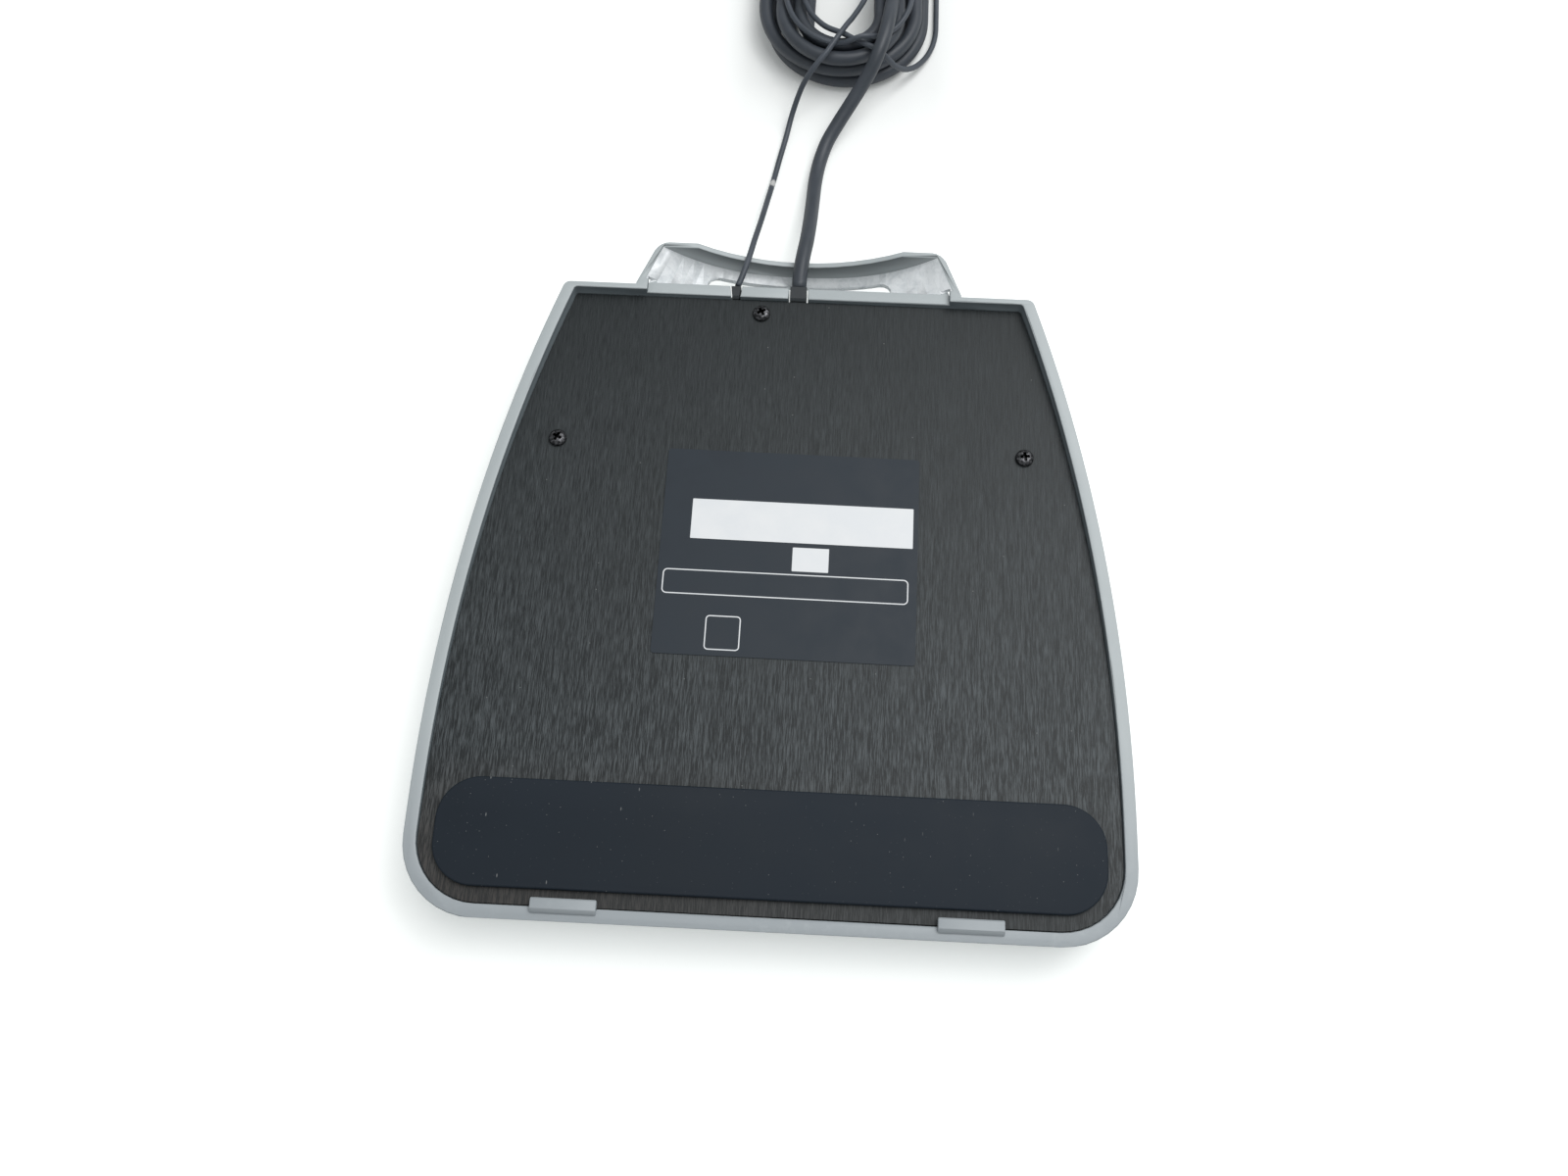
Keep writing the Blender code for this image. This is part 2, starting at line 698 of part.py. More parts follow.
def hook(name, x):
    front, back = from_front(HOOK_FRONT), from_front(HOOK_BACK)
    low = PLATE_TOP + FIT_GAP
    top = low + HOOK_HEIGHT
    root_back = from_front(HOOK_ROOT_BACK)
    root_low = PLATE_TOP - HOOK_ROOT_DEPTH
    profile = [
        (front, root_low),
        (root_back, root_low),
        (root_back, low),
        (back, low),
        (back, top - HOOK_LIP),
        (back - HOOK_LIP, top),
        (front + HOOK_BEVEL, top),
        (front, top - HOOK_BEVEL),
    ]
    return prism(name, [profile], x - HOOK_WIDTH / 2, x + HOOK_WIDTH / 2, across=ALONG_X)


def plate_screw_places():
    return {
        "screw_back": (BACK_SCREW_X, from_front(BACK_SCREW_FROM_FRONT)),
        "screw_left": (-SIDE_SCREW_X, from_front(SIDE_SCREW_FROM_FRONT)),
        "screw_right": (SIDE_SCREW_X, from_front(SIDE_SCREW_FROM_FRONT)),
    }


def corner_places(half_x, half_y, middle_y):
    return [(sx * half_x, middle_y + sy * half_y) for sy in (-1, 1) for sx in (-1, 1)]


def backer_screw_places():
    return corner_places(BACKER_SCREW_X, BACKER_SCREW_Y, from_front(WINDOW_FROM_FRONT))


def board_screw_places():
    half_x = BOARD_WIDTH / 2 - BOARD_SCREW_INSET
    half_y = BOARD_DEPTH / 2 - BOARD_SCREW_INSET
    return corner_places(half_x, half_y, from_front(BOARD_FROM_FRONT))


def clamp_screw_places():
    return [(sx * CLAMP_SCREW_X, from_front(CLAMP_FROM_FRONT)) for sx in (-1, 1)]


def clamp_low():
    return INNER_LEAD_HEIGHT + CABLE / 2 + FIT_GAP


def bossed(housing, name, places, diameter, top, hole):
    """Bosses that rise from the inner face, each with a blind hole for its screw."""
    root = INNER_FLOOR - FACE_THICKNESS / 2
    for i, (x, y) in enumerate(places):
        add(housing, cylinder(f"{name}_boss_{i}", x, y, root, top, diameter / 2))
    for i, (x, y) in enumerate(places):
        cut(housing, cylinder(f"{name}_hole_{i}", x, y, INNER_FLOOR, top + CUT_OVERRUN, hole / 2))


def notch(name, x, inner_width, outer_width, floor):
    """A slot through the ledge, of one width at the plate and another at the loop."""
    inner = from_front(POCKET_BACK - SHELF_WIDTH - CUT_OVERRUN)
    outer = from_front(LEDGE_BACK + CUT_OVERRUN)
    outline = [
        (x - inner_width / 2, inner),
        (x + inner_width / 2, inner),
        (x + inner_width / 2, from_front(POCKET_BACK)),
        (x + outer_width / 2, outer),
        (x - outer_width / 2, outer),
        (x - inner_width / 2, from_front(POCKET_BACK)),
    ]
    return prism(name, [outline], floor, STOCK_HEIGHT)


def make_housing():
    edge = [math.pi / 2 * i / EDGE_STEPS for i in range(EDGE_STEPS + 1)]
    levels = [(FACE_EDGE_RADIUS * (1 - math.sin(a)), FACE_EDGE_RADIUS * (1 - math.cos(a))) for a in edge]
    rim_front = PLATE_TOP + RIM_ABOVE_PLATE
    levels += [(0, rim_front), (0, STOCK_HEIGHT)]
    rings = []
    for inset, height in levels:
        lean = PALM_EDGE_LEAN * max(0, 1 - height / rim_front)
        outline = pad_outline(inset, inset + lean, inset, BACK_CORNER_RADIUS - inset)
        rings.append([(x, y, height) for x, y in outline])
    housing = loft("housing", rings, "grey_housing")
    add(housing, loop_stock())

    # pocket for the plate, the hollow under it and the hollow of the loop
    pocket = pad_outline(SIDE_RIM, FRONT_RIM, BACK_RIM, POCKET_CORNER_RADIUS)
    under = [width + SHELF_WIDTH for width in (SIDE_RIM, FRONT_RIM, BACK_RIM)]
    cavity = pad_outline(*under, POCKET_CORNER_RADIUS)
    cut(housing, prism("plate_pocket", [pocket], SHELF_TOP, STOCK_HEIGHT + CUT_OVERRUN))
    cut(housing, prism("cavity", [cavity], INNER_FLOOR, STOCK_HEIGHT))
    cut(housing, loop_hollow())
    slot_y = from_front(LEDGE_BACK) + SLOT_WIDTH / 2
    slot = rounded_rectangle(2 * SLOT_HALF, SLOT_WIDTH, SLOT_END_RADIUS, 0, slot_y)
    cut(housing, prism("loop_slot", [slot], 0, STOCK_HEIGHT))

    # the ledge, the arch for the cables and the sloping top of the rim
    ledge_end = LEDGE_BACK + BACK_RIM / 2
    ledge_half = loop_half(ledge_end) - LOOP_SIDE_WALL - FIT_GAP
    ledge_low = (-ledge_half, from_front(POCKET_BACK - BACK_RIM / 2), LEDGE_TOP)
    ledge_high = (ledge_half, from_front(ledge_end), STOCK_HEIGHT + CUT_OVERRUN)
    cut(housing, box("ledge_cut", ledge_low, ledge_high))
    arch_z = RIM_BACK_HEIGHT - CABLE_ARCH_DEPTH + CABLE_ARCH_RADIUS
    arch = arc(0, arch_z, CABLE_ARCH_RADIUS, 0, 2 * math.pi, ARCH_STEPS)[:-1]
    arch_ends = from_front(PAD_LENGTH - LOOP_END_WALL - CUT_OVERRUN), from_front(PAD_LENGTH + CUT_OVERRUN)
    cut(housing, prism("cable_arch", [arch], *arch_ends, across=ALONG_Y))
    stock_half = PAD_LENGTH
    rim_cut = box("rim_cut", (-stock_half, -stock_half, 0), (stock_half, 2 * stock_half, STOCK_HEIGHT))
    rim_cut.location = (0, from_front(0), PLATE_TOP + RIM_ABOVE_PLATE)
    rim_cut.rotation_euler.x = RIM_SLOPE
    cut(housing, rim_cut)
    add(housing, hook("hook_left", HOOK_LEFT_X), hook("hook_right", HOOK_RIGHT_X))

    # notches for the USB cable's relief and the tether's anchor
    relief_slot = RELIEF_WIDTH + 2 * FIT_GAP
    cut(housing, notch("cable_notch", 0, relief_slot + NOTCH_SPREAD, relief_slot, RELIEF_FLOOR - FIT_GAP))
    anchor_slot = ANCHOR_WIDTH + 2 * FIT_GAP
    anchor_mouth = ANCHOR_MOUTH + 2 * FIT_GAP + NOTCH_FLARE
    cut(housing, notch("tether_notch", ANCHOR_X, anchor_slot, anchor_mouth, ANCHOR_FLOOR - FIT_GAP))

    # bosses, posts and ribs inside
    plate_hole = PLATE_SCREW_SHANK + 2 * FIT_GAP
    small_hole = SMALL_SHANK + 2 * FIT_GAP
    bossed(housing, "plate", plate_screw_places().values(), PLATE_BOSS, SHELF_TOP, plate_hole)
    bossed(housing, "backer", backer_screw_places(), SMALL_BOSS, BACKER_LOW - FIT_GAP, small_hole)
    bossed(housing, "board", board_screw_places(), SMALL_BOSS, BOARD_UNDERSIDE - FIT_GAP, small_hole)
    bossed(housing, "clamp", clamp_screw_places(), SMALL_BOSS, clamp_low() - FIT_GAP, small_hole)
    for i in range(RIB_COUNT):
        middle = from_front(RIB_FIRST + RIB_SPACING * i)
        low = (-RIB_HALF, middle - RIB_THICKNESS / 2, INNER_FLOOR - FACE_THICKNESS / 2)
        high = (RIB_HALF, middle + RIB_THICKNESS / 2, INNER_FLOOR + RIB_HEIGHT)
        add(housing, box(f"rib_{i}", low, high))

    # signing window, with the overlay's recess on the face side
    window_y = from_front(WINDOW_FROM_FRONT)
    window = rounded_rectangle(WINDOW_WIDTH, WINDOW_DEPTH, WINDOW_CORNER_RADIUS, 0, window_y)
    recess = rounded_rectangle(
        WINDOW_WIDTH + 2 * OVERLAY_BORDER,
        WINDOW_DEPTH + 2 * OVERLAY_BORDER,
        WINDOW_CORNER_RADIUS,
        0,
        window_y,
    )
    cut(housing, prism("window", [window], -CUT_OVERRUN, INNER_FLOOR + CUT_OVERRUN))
    cut(housing, prism("overlay_recess", [recess], -CUT_OVERRUN, OVERLAY_SEAT))
    return housing


# Underside: plate, foot, label and screws
def make_plate():
    insets = [width + FIT_GAP for width in (SIDE_RIM, FRONT_RIM, BACK_RIM)]
    plate = prism(
        "base_plate", [pad_outline(*insets, POCKET_CORNER_RADIUS)], PLATE_BOTTOM, PLATE_TOP, "black_plate"
    )
    hole = PLATE_SCREW_SHANK / 2 + FIT_GAP
    for i, (x, y) in enumerate(plate_screw_places().values()):
        low, high = PLATE_BOTTOM - CUT_OVERRUN, PLATE_TOP + CUT_OVERRUN
        cut(plate, cylinder(f"plate_hole_{i}", x, y, low, high, hole))


def make_foot():
    low = PLATE_TOP + FIT_GAP
    high = low + FOOT_THICKNESS
    middle = from_front(FOOT_FROM_FRONT + FOOT_DEPTH / 2)
    levels = [(0, low)]
    for i in range(EDGE_STEPS + 1):
        angle = math.pi / 2 * i / EDGE_STEPS
        inset = FOOT_EDGE_RADIUS * (1 - math.cos(angle))
        levels.append((inset, high - FOOT_EDGE_RADIUS * (1 - math.sin(angle))))
    rings = []
    for inset, height in levels:
        width, depth = FOOT_WIDTH - 2 * inset, FOOT_DEPTH - 2 * inset
        radius = FOOT_CORNER_RADIUS - inset
        outline = rounded_rectangle(width, depth, radius, 0, middle, CORNER_STEPS)
        rings.append([(x, y, height) for x, y in outline])
    loft("rubber_foot", rings, "black_rubber")


def make_label():
    outline = rounded_rectangle(LABEL_WIDTH, LABEL_DEPTH, LABEL_CORNER_RADIUS)
    low = PLATE_TOP + FIT_GAP
    label = prism("id_label", [outline], 0, LABEL_THICKNESS, "label_film")
    label.location = (LABEL_X, from_front(LABEL_FROM_FRONT), low)
    label.rotation_euler.z = LABEL_TURN_ANGLE


def make_screw(name, x, y, seat, head, head_height, shank, length):
    """A pan-head screw with a cross recess, standing on its seat."""
    dome = [math.pi / 2 * i / EDGE_STEPS for i in range(EDGE_STEPS + 1)]
    profile = [(head / 2 * math.sin(a), head_height * (1 + math.cos(a)) / 2) for a in dome]
    profile += [(head / 2, 0), (shank / 2, 0), (shank / 2, shank / 2 - length), (0, -length)]
    screw = turned(name, profile, "black_screw", SCREW_STEPS)
    screw.location = (x, y, seat + FIT_GAP)
    arm, width, depth = head * SCREW_ARM_SHARE, head * SCREW_SLOT_SHARE, head_height / 2
    for i, (half_x, half_y) in enumerate(((arm, width), (width, arm))):
        low = (x - half_x, y - half_y, seat + FIT_GAP + depth)
        high = (x + half_x, y + half_y, seat + FIT_GAP + 2 * head_height)
        cut(screw, box(f"{name}_recess_{i}", low, high))


def make_screws():
    large = (PLATE_SCREW_HEAD, PLATE_SCREW_HEAD_HEIGHT, PLATE_SCREW_SHANK, PLATE_SCREW_LENGTH)
    for name, (x, y) in plate_screw_places().items():
        make_screw(name, x, y, PLATE_TOP, *large)
    small = (SMALL_HEAD, SMALL_HEAD_HEIGHT, SMALL_SHANK, SMALL_LENGTH)
    for i, (x, y) in enumerate(backer_screw_places()):
        make_screw(f"backer_screw_{i + 1}", x, y, BACKER_HIGH, *small)
    for i, (x, y) in enumerate(board_screw_places()):
        make_screw(f"board_screw_{i + 1}", x, y, BOARD_TOP, *small)
    for side, (x, y) in zip(("left", "right"), clamp_screw_places()):
        make_screw(f"clamp_screw_{side}", x, y, clamp_low() + CLAMP_THICKNESS, *small)


# Face side: overlay, gasket, sensor and its backer
def make_sensor():
    middle = from_front(WINDOW_FROM_FRONT)

    def window_outline(border):
        width, depth = WINDOW_WIDTH + 2 * border, WINDOW_DEPTH + 2 * border
        return rounded_rectangle(width, depth, WINDOW_CORNER_RADIUS, 0, middle)

    overlay_high = OVERLAY_SEAT - FIT_GAP
    overlay = window_outline(OVERLAY_BORDER - FIT_GAP)
    prism("signing_overlay", [overlay], overlay_high - OVERLAY_THICKNESS, overlay_high, "clear_film")
    gasket = [window_outline(GASKET_BORDER), window_outline(0)]
    prism("window_gasket", gasket, GASKET_LOW, GASKET_LOW + GASKET_THICKNESS, "grey_foam")
    prism("touch_sensor", [window_outline(SENSOR_BORDER)], SENSOR_LOW, SENSOR_HIGH, "sensor_glass")
    outline = rounded_rectangle(BACKER_WIDTH, BACKER_DEPTH, WINDOW_CORNER_RADIUS, 0, middle)
    backer = prism("sensor_backer", [outline], BACKER_LOW, BACKER_HIGH, "bright_steel")
    for i, (x, y) in enumerate(backer_screw_places()):
        low, high = BACKER_LOW - CUT_OVERRUN, BACKER_HIGH + CUT_OVERRUN
        cut(backer, cylinder(f"backer_hole_{i}", x, y, low, high, SMALL_SHANK / 2 + FIT_GAP))


# Controller board and what it carries
def make_board():
    middle = from_front(BOARD_FROM_FRONT)
    outline = rounded_rectangle(BOARD_WIDTH, BOARD_DEPTH, BOARD_SCREW_INSET / 2, 0, middle)
    board = prism("controller_board", [outline], BOARD_UNDERSIDE, BOARD_TOP, "green_board")
    for i, (x, y) in enumerate(board_screw_places()):
        low, high = BOARD_UNDERSIDE - CUT_OVERRUN, BOARD_TOP + CUT_OVERRUN
        cut(board, cylinder(f"board_hole_{i}", x, y, low, high, SMALL_SHANK / 2 + FIT_GAP))

    seat = BOARD_TOP + FIT_GAP
    chip_y = middle - CHIP_FROM_MIDDLE
    half = CHIP_SIZE / 2
    low, high = (CHIP_X - half, chip_y - half, seat), (CHIP_X + half, chip_y + half, seat + CHIP_HEIGHT)
    chip = box("controller_chip", low, high, "black_plastic")
    chamfer = chip.modifiers.new("chamfer", "BEVEL")
    chamfer.width = CHIP_CHAMFER
    chamfer.segments = 1
    corner = CRYSTAL_WIDTH * CRYSTAL_CORNER_SHARE
    crystal_y = middle - CRYSTAL_FROM_MIDDLE
    crystal = rounded_rectangle(CRYSTAL_LENGTH, CRYSTAL_WIDTH, corner, CRYSTAL_X, crystal_y)
    prism("clock_crystal", [crystal], seat, seat + CRYSTAL_HEIGHT, "bright_steel")

    header_back = from_front(BOARD_BACK - EDGE_SETBACK)
    low = (HEADER_X - HEADER_WIDTH / 2, header_back - HEADER_DEPTH, seat)
    high = (HEADER_X + HEADER_WIDTH / 2, header_back, seat + HEADER_HEIGHT)
    box("cable_header", low, high, "white_plastic")
    connector_back = from_front(BOARD_BACK - EDGE_SETBACK)
    low = (TAIL_X - TAIL_CONNECTOR_WIDTH / 2, connector_back - TAIL_CONNECTOR_DEPTH, seat)
    high = (TAIL_X + TAIL_CONNECTOR_WIDTH / 2, connector_back, seat + TAIL_CONNECTOR_HEIGHT)
    box("tail_connector", low, high, "white_plastic")


def make_sensor_tail():
    """Flat flexible lead: a strip from the sensor's edge up to its connector, given its thickness."""
    start_y = from_front(WINDOW_FROM_FRONT - WINDOW_DEPTH / 2 - SENSOR_BORDER) - FIT_GAP
    end_y = from_front(BOARD_BACK - EDGE_SETBACK) + FIT_GAP
    low = (SENSOR_LOW + SENSOR_HIGH) / 2
    high = BOARD_TOP + FIT_GAP + TAIL_CONNECTOR_HEIGHT / 2
    steps = 3 * EDGE_STEPS
    spine = []
    for i in range(steps + 1):
        share = i / steps
        spine.append((start_y + (end_y - start_y) * share, low + (high - low) * ease(share)))
    bm = bmesh.new()
    rows = []
    for x in (TAIL_X - TAIL_WIDTH / 2, TAIL_X + TAIL_WIDTH / 2):
        rows.append([bm.verts.new((x, y, z)) for y, z in spine])
    for i in range(steps):
        bm.faces.new((rows[0][i], rows[1][i], rows[1][i + 1], rows[0][i + 1]))
    tail = place("sensor_tail", mesh_of("sensor_tail", bm), "flex_film")
    wall = tail.modifiers.new("thickness", "SOLIDIFY")
    wall.thickness = TAIL_THICKNESS
    wall.offset = 0


# Where the cords leave the housing
def ledge_fitting(name, x, width, mouth, floor, top, outside, surface):
    """The part of a relief that stands in its notch: a bar under the plate with a block behind it."""
    inner = from_front(POCKET_BACK - SHELF_WIDTH - FIT_GAP - RELIEF_FLANGE_THICKNESS / 2)
    step = from_front(POCKET_BACK + FIT_GAP)
    outer = from_front(LEDGE_BACK + outside)
    bar_top = SHELF_TOP - FIT_GAP
    outline = [
        (x - width / 2, inner),
        (x + width / 2, inner),
        (x + width / 2, step),
        (x + mouth / 2, outer),
        (x - mouth / 2, outer),
        (x - width / 2, step),
    ]
    fitting = prism(name, [outline], floor, top, surface)
    back_off = (x - mouth, inner - CUT_OVERRUN, bar_top)
    cut(fitting, box(f"{name}_plate_room", back_off, (x + mouth, step, top + CUT_OVERRUN)))
    return fitting


def flange(name, x, width, low):
    back = from_front(POCKET_BACK - SHELF_WIDTH - FIT_GAP)
    corner = (x - width / 2, back - RELIEF_FLANGE_THICKNESS, low)
    return box(name, corner, (x + width / 2, back, SHELF_TOP - FIT_GAP))


def make_cord_exits():
    relief = ledge_fitting(
        "usb_strain_relief",
        0,
        RELIEF_WIDTH,
        RELIEF_WIDTH,
        RELIEF_FLOOR,
        RELIEF_TOP,
        RELIEF_OUTSIDE,
        "black_plastic",
    )
    add(relief, flange("relief_flange", 0, RELIEF_FLANGE_WIDTH, RELIEF_FLANGE_LOW))
    sleeve_size = (RELIEF_SLEEVE_LENGTH, RELIEF_SLEEVE / 2, None, RELIEF_SLEEVE_END / 2)
    sleeve = cylinder("relief_sleeve", 0, 0, 0, *sleeve_size)
    flange_front = from_front(POCKET_BACK - SHELF_WIDTH - FIT_GAP) - RELIEF_FLANGE_THICKNESS
    sleeve.location = (0, flange_front + RELIEF_FLANGE_THICKNESS / 3, INNER_LEAD_HEIGHT)
    sleeve.rotation_euler.x = math.pi / 2
    add(relief, sleeve)

    anchor = ledge_fitting(
        "tether_anchor", ANCHOR_X, ANCHOR_WIDTH, ANCHOR_MOUTH, ANCHOR_FLOOR, ANCHOR_TOP, 0, "black_plastic"
    )
    add(anchor, flange("anchor_knob", ANCHOR_X, ANCHOR_KNOB_WIDTH, ANCHOR_KNOB_LOW))

    middle = from_front(CLAMP_FROM_FRONT)
    outline = rounded_rectangle(CLAMP_WIDTH, CLAMP_DEPTH, CLAMP_DEPTH / 3, 0, middle)
    clamp = prism("cable_clamp", [outline], clamp_low(), clamp_low() + CLAMP_THICKNESS, "bright_steel")
    for i, (x, y) in enumerate(clamp_screw_places()):
        low, high = clamp_low() - CUT_OVERRUN, clamp_low() + CUT_OVERRUN
        cut(clamp, cylinder(f"clamp_hole_{i}", x, y, low, high, SMALL_SHANK / 2 + FIT_GAP))


# Cords: the coil's turns follow an oval with straight sides
def on_oval(turn, radius, height, pull=0):
    """A place on the coil, in turns anticlockwise from the middle of its right side.

    The near end of the oval can be pulled towards the pad."""
    half, part = divmod(turn % 1 + COIL_STRAIGHT_SHARE, 0.5)
    side = 1 if half % 2 == 0 else -1
    along = min(part / (2 * COIL_STRAIGHT_SHARE), 1) - 0.5
    bend = max(part - 2 * COIL_STRAIGHT_SHARE, 0) / (0.5 - 2 * COIL_STRAIGHT_SHARE)
    angle = math.pi * bend
    x = COIL_X + side * radius * math.cos(angle)
    y = from_front(COIL_FROM_FRONT) + side * (COIL_STRAIGHT * along + radius * math.sin(angle))
    return Vector((x, y - pull * (0.5 - side * along), height))


def usb_coil_point(turn):
    lead_end = COIL_OUTER + COIL_PITCH * (COIL_START_TURNS - COIL_LEAD_TURNS)
    turned_in = COIL_START_TURNS + COIL_LAYER_TURNS
    turned_out = turned_in + COIL_CROSS_TURNS
    if turn < COIL_LEAD_TURNS:
        radius = COIL_LEAD_RADIUS + (lead_end - COIL_LEAD_RADIUS) * ease(turn / COIL_LEAD_TURNS)
    elif turn < turned_in:
        radius = COIL_OUTER - COIL_PITCH * (turn - COIL_START_TURNS)
    elif turn < turned_out:
        radius = COIL_INNER - COIL_DIP * math.sin(math.pi * (turn - turned_in) / COIL_CROSS_TURNS) ** 2
    else:
        radius = COIL_INNER + COIL_PITCH * (turn - turned_out)
    landing = ease((turn - COIL_DROP_TURNS) / (COIL_START_TURNS + COIL_LEAD_TURNS / 2 - COIL_DROP_TURNS))
    crossing = ease((turn - turned_in) / COIL_CROSS_TURNS)
    height = LEAD_ON_PILE - (LEAD_ON_PILE - LAYER_TWO) * landing - (LAYER_TWO - LAYER_ONE) * crossing

    number = min(max(math.floor(turn - COIL_START_TURNS), 0), len(COIL_STACK) - 1)
    place_in, column, climbs = COIL_STACK[number]
    from_near = abs(turn - number - COIL_NEAR_TURNS)
    height += climbs * COIL_LAYER_STEP * (1 - ease((from_near - COIL_STACK_TURNS) / COIL_CLIMB_TURNS))
    pull = place_in * COIL_PITCH - column * COIL_COLUMN_STEP
    return on_oval(turn, radius, height, pull)


def usb_coil_line():
    turns = COIL_START_TURNS + 2 * COIL_LAYER_TURNS + COIL_CROSS_TURNS
    count = round(turns * COIL_STEPS)
    line = [usb_coil_point(turns * i / count) for i in range(count + 1)]
    first = (line[1] - line[0]).normalized()
    last = (line[-1] - line[-2]).normalized()
    return [line[0] - first * CABLE] + line + [line[-1] + last * CABLE]


def tether_coil_line():
    loops = smooth(TETHER_LOOPS, 1 / COIL_STEPS)
    line = [on_oval(*place_on_coil) for place_on_coil in loops]
    first = (line[1] - line[0]).normalized()
    last = (line[-1] - line[-2]).normalized()
    return [line[0] - first * TETHER] + line + [line[-1] + last * TETHER]


def least_self_gap(line, diameter, skip):
    """The least gap between turns: the closest that points more than skip steps apart come."""
    fine = [a.lerp(b, k / 4) for a, b in zip(line, line[1:]) for k in range(4)]
    nearest = min(
        (fine[i] - fine[j]).length for i in range(len(fine)) for j in range(i + skip * 4, len(fine), 2)
    )
    return nearest - diameter


def make_cords():
    coil = usb_coil_line()
    loops = tether_coil_line()
    tube("usb_coil", coil, CABLE, 1, "black_cable")
    tube("tether_coil", loops, TETHER, 1, "black_cable")
    print("least gap in the USB coil", round(least_self_gap(coil, CABLE, COIL_STEPS // 2), 5))
    print("least gap in the tether's loops", round(least_self_gap(loops, TETHER, COIL_STEPS // 2), 5))

    into_coil = (coil[1] - coil[0]).normalized()
    usb = USB_ROUTE + [coil[0] - into_coil * (CABLE + FIT_GAP), coil[0] - into_coil * FIT_GAP]
    usb_line = smooth(usb, 2 * CABLE)
    tube("usb_cable", usb_line, CABLE, 2, "black_cable")

    out_of_coil = (coil[-1] - coil[-2]).normalized()
    plug_entry = Vector((PLUG_X, from_front(PLUG_FROM_FRONT), PLUG_CENTRE))
    into_plug = Vector((-1, 0, 0))
    tail = [
        coil[-1] + out_of_coil * FIT_GAP,
        coil[-1] + out_of_coil * (FIT_GAP + CABLE),
        plug_entry - into_plug * (FIT_GAP + CABLE),
        plug_entry - into_plug * FIT_GAP,
    ]
    tail_line = smooth(tail, CABLE)
    tube("usb_tail", tail_line, CABLE, 2, "black_cable")

    into_loops = (loops[1] - loops[0]).normalized()
    tether = TETHER_ROUTE + [loops[0] - into_loops * (TETHER + FIT_GAP), loops[0] - into_loops * FIT_GAP]
    tether_line = smooth(tether, 2 * TETHER)
    tube("tether", tether_line, TETHER, 1, "black_cable")

    out_of_loops = (loops[-1] - loops[-2]).normalized()
    cap_end = stylus_centre() + Vector((FIT_GAP, 0, 0))
    end = [loops[-1] + out_of_loops * FIT_GAP, loops[-1] + out_of_loops * (FIT_GAP + TETHER)]
    end += TETHER_END_ROUTE + [cap_end + Vector((TETHER, 0, 0)), cap_end]
    end_line = smooth(end, 2 * TETHER)
    tube("tether_end", end_line, TETHER, 1, "black_cable")

    print("USB cable", round(line_length(usb_line) + line_length(coil) + line_length(tail_line), 4))
    print("tether", round(line_length(tether_line) + line_length(loops) + line_length(end_line), 4))

    inner_end = Vector((HEADER_X, from_front(BOARD_BACK - EDGE_SETBACK) + FIT_GAP, INNER_LEAD_ROUTE[-1][2]))
    inner = INNER_LEAD_ROUTE[:-1] + [inner_end + Vector((0, CABLE, 0)), inner_end]
    sleeve_end = from_front(POCKET_BACK - SHELF_WIDTH - FIT_GAP) - RELIEF_FLANGE_THICKNESS * 2 / 3
    inner[0] = (0, sleeve_end - RELIEF_SLEEVE_LENGTH - FIT_GAP, INNER_LEAD_HEIGHT)
    tube("usb_inner_lead", smooth(inner, 2 * CABLE), CABLE, 2, "black_cable")


def make_tie():
    """A flat band round the strands of the coil's left side."""
    reach = COIL_OUTER + CABLE / 2 + TIE_CLEARANCE
    inside = COIL_INNER - COIL_DIP - CABLE / 2 - TIE_CLEARANCE
    top = TETHER_ON_PILE + TETHER / 2 + TIE_CLEARANCE
    low = TIE_LIFT + TIE_THICKNESS
    width, height = reach - inside, top - low
    x, z = COIL_X - (reach + inside) / 2, (top + low) / 2
    grow = 2 * TIE_THICKNESS
    hole = rounded_rectangle(width, height, CABLE / 2, x, z)
    band = rounded_rectangle(width + grow, height + grow, CABLE / 2 + TIE_THICKNESS, x, z)
    near = from_front(COIL_FROM_FRONT) + TIE_WIDTH / 2
    ends = near, near + TIE_WIDTH
    prism("coil_tie", [band, hole], *ends, "black_plastic", ALONG_Y)


